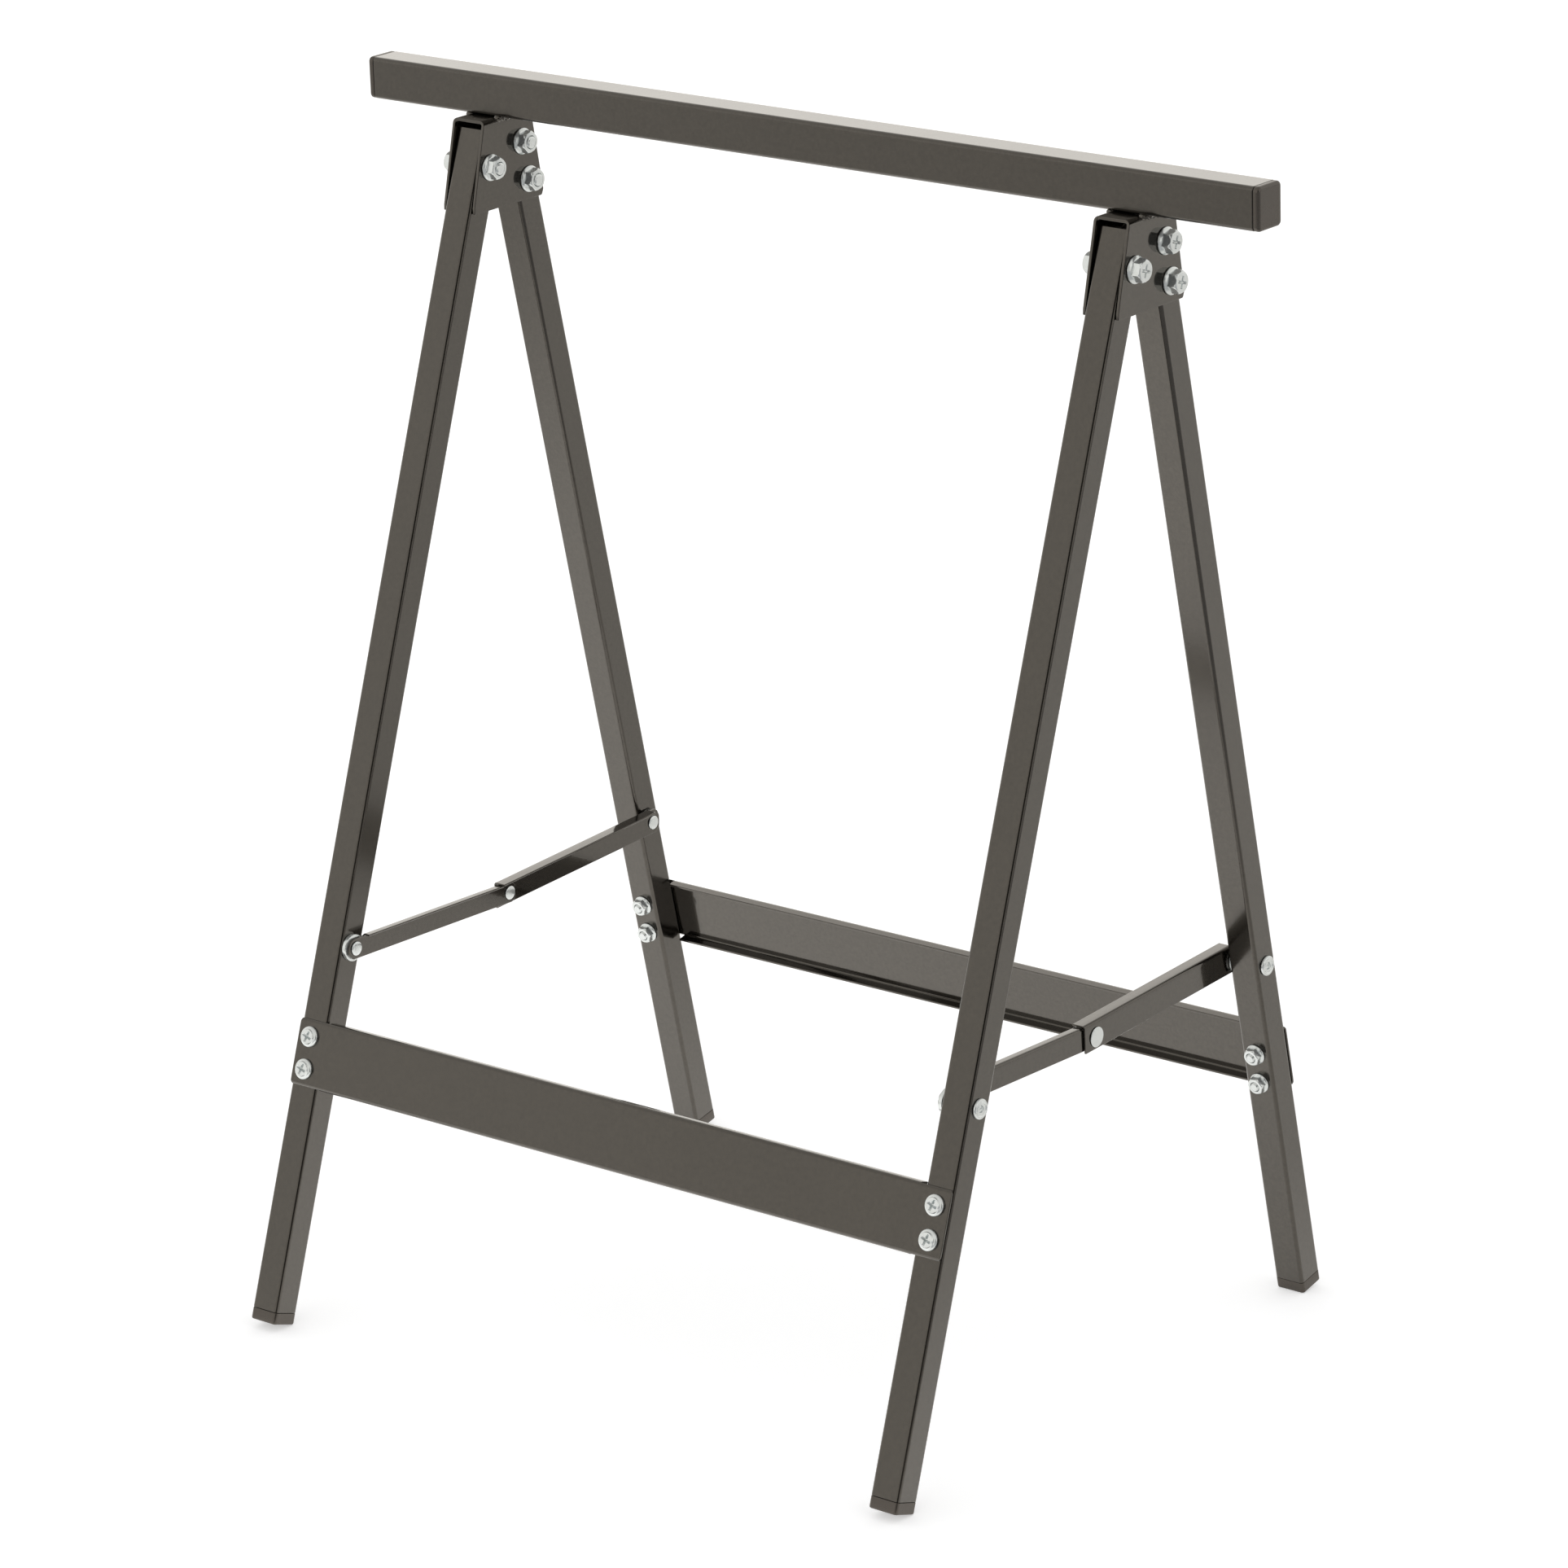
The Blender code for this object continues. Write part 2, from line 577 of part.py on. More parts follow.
def make_stay_link(name, side, pivot, slope, near, width, above, below, web, square, finish):
    """A stay link: a bent angle with its cheek beside the leg and its web on top, away from the leg.

    The link runs from its pivot at the object's origin along local -Y for the link length. Its cheek is
    rounded at both pivots, where the web is cut away, unless the far end is cut square with its web.
    """
    middle = side * (LEG_SPACING / 2 - LEG_WIDTH / 2 - near - width / 2)
    place = (middle, pivot.y, pivot.z)
    start, stop = web
    bare = above - STAY_SHEET - SEAT
    turn = STAY_END_ROUND
    corners = [(STAY_END, -below, turn), (STAY_END, bare, turn), (-start, bare, 0.0), (-start, above, 0.0)]
    corners.append((-stop, above, 0.0))
    if square:
        far = stop
        corners.append((-stop, -below, STAY_SQUARE_CORNER))
    else:
        far = STAY_LINK + STAY_END
        corners += [(-stop, bare, 0.0), (-far, bare, turn), (-far, -below, turn)]
    outline = rounded_outline(corners)
    leg_side = side * width / 2
    cheek_inside = leg_side - side * STAY_SHEET
    foot = -below - STAY_SHEET
    angle = rounded_outline(
        [
            (leg_side, foot, 0.0),
            (leg_side, above, STAY_BEND),
            (-leg_side, above, 0.0),
            (-leg_side, above - STAY_SHEET, 0.0),
            (cheek_inside, above - STAY_SHEET, STAY_BEND - STAY_SHEET),
            (cheek_inside, foot, 0.0),
        ]
    )
    ends = [along_y(angle, STAY_END + STAY_SHEET), along_y(angle, -far - STAY_SHEET)]
    link = loft(name, ends, finish, None, place, slope)
    profile = [along_x(outline, -width), along_x(outline, width)]
    boolean(link, cutter(name + "_outline", profile, None, place, slope), "INTERSECT")
    for index, y in enumerate((0.0, -STAY_LINK)):
        hole = [(a + y, b) for a, b in circle(RIVET_SHANK + SEAT, NUT_SIDES)]
        loops = [along_x(hole, -width), along_x(hole, width)]
        boolean(link, cutter(f"{name}_hole_{index}", loops, None, place, slope), "DIFFERENCE")
    return link


def rivet_stations(low, high, head, head_height, tail, tail_height):
    """Sections of a rivet along X: a domed head past high and, unless tail is 0, a domed tail past low."""
    stations = [(loop, high + height) for loop, height in dome(head, head_height, RIVET_RIM)]
    stations.append((circle(head, NUT_SIDES), high))
    stations.append((circle(RIVET_SHANK, NUT_SIDES), high))
    stations.append((circle(RIVET_SHANK, NUT_SIDES), low))
    if tail > 0.0:
        stations.append((circle(tail, NUT_SIDES), low))
        stations += [(loop, low - height) for loop, height in reversed(dome(tail, tail_height, RIVET_RIM))]
    return stations


def make_rivet(name, side, stations, parent, place, finish):
    """A rivet across a stay, its sections measured outwards from the leg's inner face."""
    loops = [along_x(loop, side * x) for loop, x in stations]
    return loft(name, loops, finish, parent, place)


def make_washer(name, carrier, side, z, near, far, finish):
    """A plain washer beside a leg, on its inner side."""
    bore = circle(RIVET_SHANK + SEAT, NUT_SIDES)
    rim = circle(WASHER_RADIUS, NUT_SIDES)
    loops = [
        along_x(bore, -side * near),
        along_x(rim, -side * near),
        along_x(rim, -side * far),
        along_x(bore, -side * far),
    ]
    x = side * (LEG_SPACING / 2 - LEG_WIDTH / 2)
    return loft(name, loops, finish, carrier, (x, 0.0, z), ring=True)


def make_frame(prefix, carrier, outward, drop, top, rail_up, cross_holes, finishes):
    """Two legs with their foot plugs, and the rail bolted across their outer faces."""
    coat, plastic, zinc = finishes
    rail_height = -drop + rail_up
    holes = [(rail_height + shift, RAIL_SHANK + SEAT) for _, shift in rail_bolt_shifts()]
    for side_name, side in SIDES:
        x = side * LEG_SPACING / 2
        make_leg(f"{prefix}_leg_{side_name}", carrier, x, drop, top, cross_holes, holes, coat)
        make_foot(f"{prefix}_foot_{side_name}", carrier, x, drop, plastic)
        for part_name, shift in rail_bolt_shifts():
            z = rail_height + shift
            tag = f"{side_name}_{part_name}"
            make_rail_bolt(f"{prefix}_rail_bolt_{tag}", carrier, x, z, outward, zinc)
            make_rail_nut(f"{prefix}_rail_nut_{tag}", carrier, x, z, outward, zinc)
    make_rail(f"{prefix}_rail", carrier, rail_height, outward, coat)


def make_stay(side_name, side, front_carrier, rear_carrier, finishes):
    """One folding stay: two nested angles, the rivets at its three pivots and the washers at the legs."""
    coat, plastic, zinc = finishes
    inner_face = side * (LEG_SPACING / 2 - LEG_WIDTH / 2)
    rear_web = (STAY_REAR_WEB_START, STAY_LINK + STAY_REAR_PAST_MIDDLE)
    rear_link = make_stay_link(
        f"stay_rear_link_{side_name}", side, STAY_REAR_END, STAY_SLOPE, STAY_REAR_NEAR,
        STAY_REAR_WIDTH, STAY_REAR_ABOVE, STAY_REAR_BELOW, rear_web, True, coat,
    )
    front_web = (STAY_FRONT_WEB_START, STAY_LINK - STAY_FRONT_WEB_STOP)
    front_link = make_stay_link(
        f"stay_front_link_{side_name}", side, STAY_MIDDLE, -STAY_SLOPE, STAY_FRONT_NEAR,
        STAY_FRONT_WIDTH, STAY_FRONT_ABOVE, STAY_FRONT_BELOW, front_web, False, coat,
    )
    rear_far = STAY_REAR_NEAR + STAY_SHEET
    front_far = STAY_FRONT_NEAR + STAY_SHEET
    rear_drop = -STAY_DROP / math.cos(REAR_TILT)
    front_drop = -STAY_DROP / math.cos(FRONT_TILT)
    # Rear pivot: one rivet from the leg's outer face through the tube, the washer and the link.
    through = rivet_stations(
        -rear_far - SEAT, LEG_WIDTH + SEAT, RIVET_HEAD, RIVET_HEAD_HEIGHT, RIVET_TAIL, RIVET_TAIL_HEIGHT
    )
    spot = (inner_face, 0.0, rear_drop)
    make_rivet(f"stay_rear_rivet_{side_name}", side, through, rear_carrier, spot, zinc)
    rear_washer_far = SEAT + WASHER_THICK
    make_washer(f"stay_rear_washer_{side_name}", rear_carrier, side, rear_drop, SEAT, rear_washer_far, zinc)
    # Middle pivot: carried by the rear link.
    leg_side = STAY_REAR_WIDTH / 2
    tail_seat = leg_side + STAY_REAR_NEAR - front_far - SEAT
    middle = rivet_stations(
        tail_seat, leg_side + SEAT, RIVET_HEAD, MIDDLE_HEAD_HEIGHT, RIVET_TAIL, RIVET_TAIL_HEIGHT
    )
    make_rivet(f"stay_middle_rivet_{side_name}", side, middle, rear_link, (0.0, -STAY_LINK, 0.0), zinc)
    # Front pivot: the leg carries the screw and its washer, and the link carries the rivet's other half.
    front_washer_far = STAY_FRONT_NEAR - SEAT
    screw_tip = -front_washer_far + SEAT
    screw = rivet_stations(screw_tip, LEG_WIDTH + SEAT, RIVET_HEAD, RIVET_HEAD_HEIGHT, 0.0, 0.0)
    spot = (inner_face, 0.0, front_drop)
    make_rivet(f"stay_front_screw_{side_name}", side, screw, front_carrier, spot, zinc)
    washer_name = f"stay_front_washer_{side_name}"
    make_washer(washer_name, front_carrier, side, front_drop, SEAT, front_washer_far, zinc)
    cheek_start = -STAY_FRONT_WIDTH / 2
    tail_seat = cheek_start + STAY_SHEET + SEAT
    tail = rivet_stations(cheek_start, tail_seat, RIVET_TAIL, RIVET_TAIL_HEIGHT, 0.0, 0.0)
    place = (0.0, -STAY_LINK, 0.0)
    make_rivet(f"stay_front_rivet_{side_name}", -side, tail, front_link, place, zinc)


def main():
    clear_scene()
    coat = surface("black_coat", (0.035, 0.034, 0.032), 0.2, 0.3)
    plastic = surface("black_plastic", (0.03, 0.03, 0.03), 0.0, 0.5)
    zinc = surface("zinc_plate", (0.72, 0.73, 0.72), 1.0, 0.3)
    finishes = (coat, plastic, zinc)
    rear_carrier = frame_empty("rear_frame", REAR_AXIS, REAR_TILT)
    front_carrier = frame_empty("front_frame_hinge", FRONT_AXIS, -FRONT_TILT)
    make_beam(coat)
    for side_name, side in SIDES:
        make_beam_cap(f"beam_cap_{side_name}", side, plastic)
        make_bracket(f"head_bracket_{side_name}", side, coat)
        for part_name, y, z in head_bolt_places():
            make_head_bolt(f"{part_name}_bolt_{side_name}", side, y, z, zinc)
            make_head_nut(f"{part_name}_nut_{side_name}", side, y, z, zinc)
        make_stay(side_name, side, front_carrier, rear_carrier, finishes)
    stay_hole = RIVET_SHANK + SEAT
    bolt_hole = HEAD_SHANK + SEAT
    rear_holes = (
        (UPPER_BOLT_UP, bolt_hole),
        (-LOWER_BOLT_DOWN, bolt_hole),
        (-STAY_DROP / math.cos(REAR_TILT), stay_hole),
    )
    front_holes = ((0.0, bolt_hole), (-STAY_DROP / math.cos(FRONT_TILT), stay_hole))
    make_frame(
        "rear", rear_carrier, 1, REAR_DROP, REAR_LEG_ABOVE_PIVOT, REAR_RAIL_UP, rear_holes, finishes
    )
    make_frame(
        "front", front_carrier, -1, FRONT_DROP, FRONT_LEG_ABOVE_PIVOT, FRONT_RAIL_UP, front_holes, finishes
    )


main()
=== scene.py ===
import json

import bpy
import numpy as np
from mathutils import Matrix, Vector


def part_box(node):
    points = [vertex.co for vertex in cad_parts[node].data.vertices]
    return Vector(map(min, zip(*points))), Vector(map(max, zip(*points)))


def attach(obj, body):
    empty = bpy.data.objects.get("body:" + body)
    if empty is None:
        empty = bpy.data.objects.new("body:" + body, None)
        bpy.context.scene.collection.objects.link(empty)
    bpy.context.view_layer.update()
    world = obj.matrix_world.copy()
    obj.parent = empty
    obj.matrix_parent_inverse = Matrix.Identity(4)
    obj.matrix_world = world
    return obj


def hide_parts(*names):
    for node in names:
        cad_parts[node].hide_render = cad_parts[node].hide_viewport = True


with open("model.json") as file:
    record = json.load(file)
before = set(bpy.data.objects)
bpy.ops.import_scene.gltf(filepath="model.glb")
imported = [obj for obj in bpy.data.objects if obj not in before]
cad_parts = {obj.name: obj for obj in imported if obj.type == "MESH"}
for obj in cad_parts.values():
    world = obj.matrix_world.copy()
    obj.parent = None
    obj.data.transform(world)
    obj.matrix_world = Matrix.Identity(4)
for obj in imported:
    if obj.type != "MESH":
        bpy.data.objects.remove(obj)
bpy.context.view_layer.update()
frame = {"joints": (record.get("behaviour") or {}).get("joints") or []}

# Camera: the photograph's view, from the front right and a little above the beam.
# The angles, the distance and the long lens were worked out from the trestle's
# own edges. The camera is rolled slightly, as the picture is.

MIDDLE_OF_BEAM = (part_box("beam")[0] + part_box("beam")[1]) / 2
VIEW_YAW = np.radians(39.31)
VIEW_PITCH = np.radians(18.45)
VIEW_ROLL = np.radians(-1.83)
VIEW_DISTANCE = 4.097
VIEW_TARGET = Vector((-0.0305, MIDDLE_OF_BEAM.y, 0.3260))
LENS_TO_WIDTH = 4.2008
SENSOR = 36.0
SEEN_TO = 50.0

toward_camera = Vector((
    np.sin(VIEW_YAW) * np.cos(VIEW_PITCH),
    -np.cos(VIEW_YAW) * np.cos(VIEW_PITCH),
    np.sin(VIEW_PITCH),
))
camera_data = bpy.data.cameras.new("photo_view")
camera_data.sensor_width = SENSOR
camera_data.lens = LENS_TO_WIDTH * SENSOR
camera_data.clip_end = SEEN_TO
camera = bpy.data.objects.new("photo_view", camera_data)
level_right = Vector((0, 0, 1)).cross(toward_camera).normalized()
level_up = toward_camera.cross(level_right)
rolled_right = level_right * np.cos(VIEW_ROLL) + level_up * np.sin(VIEW_ROLL)
rolled_up = level_up * np.cos(VIEW_ROLL) - level_right * np.sin(VIEW_ROLL)
turn = Matrix((rolled_right, rolled_up, toward_camera)).transposed().to_4x4()
camera.matrix_world = Matrix.Translation(VIEW_TARGET + toward_camera * VIEW_DISTANCE) @ turn
bpy.context.scene.collection.objects.link(camera)
bpy.context.scene.camera = camera
bpy.context.scene.view_settings.view_transform = "Standard"

# Studio: a white room and a pale floor, dark on the camera's side and a little warm where
# the gloss coat mirrors them. A wide soft lamp stands where the beam's top mirrors it, and
# a card on the floor, seen in reflections alone, lights the faces that look down.

WORLD_LEVEL = 0.95
ZENITH_LEVEL = 0.62
ZENITH_RISE = (0.35, 0.95)
DARK_SIDE = Vector((0.69, -0.66, 0.18)).normalized()
DARK_SIDE_EDGE = (0.87, 0.95)
DARK_LEVEL = 0.02
DARK_FLOOR_LEVEL = 0.40
DARK_FLOOR_TOWARD = Vector((0.815, -0.579, 0.0))
DARK_FLOOR_EDGE = (0.52, 0.64)
FLOOR_COLOR = (0.84, 0.84, 0.84, 1.0)
FLOOR_ROUGH = 0.9
FLOOR_GLOSS = 0.1
FLOOR_SIZE = 14.0
FLOOR_BELOW_FEET = 0.0002
MIRRORED_FLOOR_COLOR = (0.84, 0.81, 0.755, 1.0)
MIRRORED_ROOM_COLOR = (1.0, 0.975, 0.925, 1.0)
WHITE = (1.0, 1.0, 1.0, 1.0)
MIRRORED_GLOW = 0.16
EXTRA_GLOW_TO_LENS = 0.31
CARD_PLACE = (-0.30, -0.25, 0.0)
CARD_EDGE = (0.45, 0.95)
CARD_GLOW = 0.46
SOFT_LAMP_PLACE = Vector((-2.6, 3.4, 1.9))
SOFT_LAMP_AIM = Vector((0, 0, 0.6))
SOFT_LAMP_SIZE = 3.2
SOFT_LAMP_WATTS = 9.0
SOFT_LAMP_COLOR = (1.0, 0.935, 0.85)


def math_node(tree, operation, *values):
    """A Math node, each input a number or another node's output."""
    node = tree.nodes.new("ShaderNodeMath")
    node.operation = operation
    for socket, value in zip(node.inputs, values):
        if isinstance(value, float):
            socket.default_value = value
        else:
            tree.links.new(value, socket)
    return node.outputs[0]


def vector_node(tree, operation, linked, fixed):
    """A Vector Math node that makes one number of a linked vector and a fixed one."""
    node = tree.nodes.new("ShaderNodeVectorMath")
    node.operation = operation
    node.inputs[1].default_value = fixed
    tree.links.new(linked, node.inputs[0])
    return node.outputs["Value"]


def ramp_node(tree, value, edge, first, last):
    """A Map Range node: first up to the edge's start, last from its end, straight in between."""
    node = tree.nodes.new("ShaderNodeMapRange")
    for socket, number in zip(("From Min", "From Max", "To Min", "To Max"), (*edge, first, last)):
        node.inputs[socket].default_value = number
    tree.links.new(value, node.inputs["Value"])
    return node.outputs[0]


def color_node(tree, share, first, second):
    """A Mix node from the first colour to the second by the share. The first may be an output."""
    node = tree.nodes.new("ShaderNodeMix")
    node.data_type = "RGBA"
    tree.links.new(share, node.inputs[0])
    if isinstance(first, tuple):
        node.inputs[6].default_value = first
    else:
        tree.links.new(first, node.inputs[6])
    node.inputs[7].default_value = second
    return node.outputs[2]


def start_material(name):
    """A new node material, with its tree, its shader and its Object coordinates."""
    made = bpy.data.materials.new(name)
    made.use_nodes = True
    where = made.node_tree.nodes.new("ShaderNodeTexCoord").outputs["Object"]
    return made, made.node_tree, made.node_tree.nodes["Principled BSDF"], where


world = bpy.data.worlds.new("white_room")
bpy.context.scene.world = world
world.use_nodes = True
sky = world.node_tree
sky_back = sky.nodes["Background"]
sky_where = sky.nodes.new("ShaderNodeTexCoord").outputs["Generated"]
sky_path = sky.nodes.new("ShaderNodeLightPath")
sky_split = sky.nodes.new("ShaderNodeSeparateXYZ")
sky.links.new(sky_where, sky_split.inputs[0])
sky_level = ramp_node(sky, sky_split.outputs["Z"], ZENITH_RISE, WORLD_LEVEL, ZENITH_LEVEL)
sky_toward = vector_node(sky, "DOT_PRODUCT", sky_where, DARK_SIDE)
sky_dark = ramp_node(sky, sky_toward, DARK_SIDE_EDGE, 1.0, DARK_LEVEL)
sky_white = sky.nodes.new("ShaderNodeMix")
sky_white.inputs[3].default_value = 1.0
sky.links.new(sky_path.outputs["Is Camera Ray"], sky_white.inputs[0])
sky.links.new(math_node(sky, "MULTIPLY", sky_level, sky_dark), sky_white.inputs[2])
sky.links.new(sky_white.outputs[0], sky_back.inputs["Strength"])
sky_tint = color_node(sky, sky_path.outputs["Is Glossy Ray"], WHITE, MIRRORED_ROOM_COLOR)
sky.links.new(sky_tint, sky_back.inputs["Color"])

floor_mesh = bpy.data.meshes.new("studio_floor")
floor_corners = np.array([(-1, -1, 0), (1, -1, 0), (1, 1, 0), (-1, 1, 0)]) * FLOOR_SIZE / 2
floor_mesh.from_pydata(floor_corners.tolist(), [], [(0, 1, 2, 3)])
studio_floor = bpy.data.objects.new("studio_floor", floor_mesh)
studio_floor.location.z = -FLOOR_BELOW_FEET
bpy.context.scene.collection.objects.link(studio_floor)
pale_floor, floor_tree, floor_shader, floor_where = start_material("pale_floor")
floor_shader.inputs["Roughness"].default_value = FLOOR_ROUGH
floor_shader.inputs["Specular IOR Level"].default_value = FLOOR_GLOSS
floor_path = floor_tree.nodes.new("ShaderNodeLightPath")
to_lens, in_gloss = floor_path.outputs["Is Camera Ray"], floor_path.outputs["Is Glossy Ray"]
floor_tone = color_node(floor_tree, in_gloss, FLOOR_COLOR, MIRRORED_FLOOR_COLOR)
seen_plainly = math_node(floor_tree, "MAXIMUM", to_lens, in_gloss)
through_glass = floor_path.outputs["Is Transmission Ray"]
seen_plainly = math_node(floor_tree, "MAXIMUM", seen_plainly, through_glass)
glow = math_node(floor_tree, "MULTIPLY", seen_plainly, MIRRORED_GLOW)
glow = math_node(floor_tree, "MULTIPLY_ADD", to_lens, EXTRA_GLOW_TO_LENS, glow)
from_card = vector_node(floor_tree, "DISTANCE", floor_where, CARD_PLACE)
card = ramp_node(floor_tree, from_card, CARD_EDGE, CARD_GLOW, 0.0)
glow = math_node(floor_tree, "MULTIPLY_ADD", card, in_gloss, glow)
dark_part = vector_node(floor_tree, "DOT_PRODUCT", floor_where, DARK_FLOOR_TOWARD)
dark_part = ramp_node(floor_tree, dark_part, DARK_FLOOR_EDGE, 0.0, 1.0)
dark_part = math_node(floor_tree, "MULTIPLY", dark_part, in_gloss)
floor_glow = floor_tree.nodes.new("ShaderNodeEmission")
dark_glow = floor_tree.nodes.new("ShaderNodeEmission")
dark_glow.inputs["Strength"].default_value = DARK_FLOOR_LEVEL
floor_add = floor_tree.nodes.new("ShaderNodeAddShader")
floor_mix = floor_tree.nodes.new("ShaderNodeMixShader")
floor_tree.links.new(floor_tone, floor_shader.inputs["Base Color"])
floor_tree.links.new(glow, floor_glow.inputs["Strength"])
floor_tree.links.new(floor_shader.outputs[0], floor_add.inputs[0])
floor_tree.links.new(floor_glow.outputs[0], floor_add.inputs[1])
floor_tree.links.new(dark_part, floor_mix.inputs[0])
floor_tree.links.new(floor_add.outputs[0], floor_mix.inputs[1])
floor_tree.links.new(dark_glow.outputs[0], floor_mix.inputs[2])
floor_tree.links.new(floor_mix.outputs[0], floor_tree.nodes["Material Output"].inputs["Surface"])
floor_mesh.materials.append(pale_floor)

soft_lamp_data = bpy.data.lights.new("soft_lamp", "AREA")
soft_lamp_data.shape = "RECTANGLE"
soft_lamp_data.size = SOFT_LAMP_SIZE
soft_lamp_data.size_y = SOFT_LAMP_SIZE
soft_lamp_data.color = SOFT_LAMP_COLOR
soft_lamp_data.energy = SOFT_LAMP_WATTS
soft_lamp = bpy.data.objects.new("soft_lamp", soft_lamp_data)
soft_lamp.location = SOFT_LAMP_PLACE
soft_lamp.rotation_euler = (SOFT_LAMP_AIM - SOFT_LAMP_PLACE).to_track_quat("-Z", "Y").to_euler()
bpy.context.scene.collection.objects.link(soft_lamp)

# Beam: a rectangular steel tube, about 23 x 26.5 mm with rounded corners, cut square and
# powder coated near-black. The coat is a smooth, glossy film with a faint orange peel,
# dust-fine specks and light handling marks.

BEAM_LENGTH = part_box("beam")[1].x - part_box("beam")[0].x
BEAM_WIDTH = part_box("beam")[1].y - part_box("beam")[0].y
BEAM_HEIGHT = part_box("beam")[1].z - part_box("beam")[0].z
BEAM_WALL = 0.0015
TUBE_CORNER = 0.0025
TUBE_STATIONS = 33
CORNER_STEPS = 9
FLAT_START = 0.0002
CUT_EASE = 0.00045
CUT_TURNS = (0.55, 1.05, np.pi / 2)
CUT_EDGE = [(CUT_EASE * (1 - np.sin(turn)), CUT_EASE * (1 - np.cos(turn))) for turn in CUT_TURNS]
SEAM_ANGLE = 30.0
COAT_DARK = (0.0045, 0.00405, 0.00351, 1.0)
COAT_LIGHT = (0.0081, 0.007128, 0.00576, 1.0)
COAT_TINT = (1.0, 0.88, 0.72, 1.0)
COAT_IOR = 1.66
FILM_IOR = 1.46
CLOUD_NOISE = (9.0, 4.0, 0.55)
CLOUD_EDGE = (0.35, 0.65)
SPECK_COLOR = (0.09, 0.085, 0.08, 1.0)
SPECK_NOISE = (2600.0, 1.0)
SPECK_EDGE = (0.70, 0.80)
SPECK_SHARE = 0.5
SHEEN_NOISE = (420.0, 6.0, 0.75)
SHEEN_EDGE = (0.25, 0.75)
SHEEN_LEVEL = (0.38, 0.62)
SCRATCH_COLOR = (0.11, 0.105, 0.10, 1.0)
SCRATCH_STRETCH = (35.0, 35.0, 900.0)
SCRATCH_TURN = (0.6, 0.35, 0.2)
SCRATCH_NOISE = (1.0, 2.0)
SCRATCH_EDGE = (0.72, 0.76)
SCRATCH_SHARE = 0.45
PATCH_NOISE = (22.0, 2.0)
PATCH_EDGE = (0.58, 0.72)
PEEL_NOISE = (520.0, 2.0, 0.45)
PEEL_STRENGTH = 0.35
PEEL_HEIGHT = 0.00002
LEAST_ROUGH = 0.85
MOST_ROUGH = 1.2
TUBE_ROUGH = (0.22, 0.13)


def noise_node(tree, where, scale, detail, rough=0.5):
    """A Noise node: scale lumps to the metre, with finer layers of the given number and weight."""
    node = tree.nodes.new("ShaderNodeTexNoise")
    for socket, number in zip(("Scale", "Detail", "Roughness"), (scale, detail, rough)):
        node.inputs[socket].default_value = number
    tree.links.new(where, node.inputs["Vector"])
    return node.outputs["Fac"]


def bump_node(tree, height, strength, distance):
    """A Bump node: the normal of a surface that stands distance times the height further out."""
    node = tree.nodes.new("ShaderNodeBump")
    node.inputs["Strength"].default_value = strength
    node.inputs["Distance"].default_value = distance
    tree.links.new(height, node.inputs["Height"])
    return node.outputs[0]


def coat_material(name, rough, film_rough):
    """Powder coat: a near-black whose tone and roughness drift in soft clouds, with fine pale
    specks, and thin scratches where a wide noise passes a threshold. A clear film lies over it,
    and a fine noise in the normal of both gives the orange peel."""
    made, tree, shader, where = start_material(name)
    shader.inputs["IOR"].default_value = COAT_IOR
    shader.inputs["Specular Tint"].default_value = COAT_TINT
    shader.inputs["Coat Weight"].default_value = 1.0
    shader.inputs["Coat Roughness"].default_value = film_rough
    shader.inputs["Coat IOR"].default_value = FILM_IOR
    clouds = ramp_node(tree, noise_node(tree, where, *CLOUD_NOISE), CLOUD_EDGE, 0.0, 1.0)
    specks = ramp_node(tree, noise_node(tree, where, *SPECK_NOISE), SPECK_EDGE, 0.0, SPECK_SHARE)
    sheen = ramp_node(tree, noise_node(tree, where, *SHEEN_NOISE), SHEEN_EDGE, *SHEEN_LEVEL)
    stretched = tree.nodes.new("ShaderNodeMapping")
    stretched.inputs["Scale"].default_value = SCRATCH_STRETCH
    stretched.inputs["Rotation"].default_value = SCRATCH_TURN
    tree.links.new(where, stretched.inputs["Vector"])
    scratches = noise_node(tree, stretched.outputs[0], *SCRATCH_NOISE)
    scratches = ramp_node(tree, scratches, SCRATCH_EDGE, 0.0, SCRATCH_SHARE)
    patches = ramp_node(tree, noise_node(tree, where, *PATCH_NOISE), PATCH_EDGE, 0.0, 1.0)
    marks = math_node(tree, "MULTIPLY", patches, scratches)
    toned = color_node(tree, clouds, COAT_DARK, COAT_LIGHT)
    speckled = color_node(tree, specks, toned, SPECK_COLOR)
    tree.links.new(color_node(tree, marks, speckled, SCRATCH_COLOR), shader.inputs["Base Color"])
    rubbed = ramp_node(tree, clouds, (0.0, 1.0), rough * LEAST_ROUGH, rough * MOST_ROUGH)
    tree.links.new(rubbed, shader.inputs["Roughness"])
    tree.links.new(sheen, shader.inputs["Specular IOR Level"])
    peel = bump_node(tree, noise_node(tree, where, *PEEL_NOISE), PEEL_STRENGTH, PEEL_HEIGHT)
    tree.links.new(peel, shader.inputs["Normal"])
    tree.links.new(peel, shader.inputs["Coat Normal"])
    return made


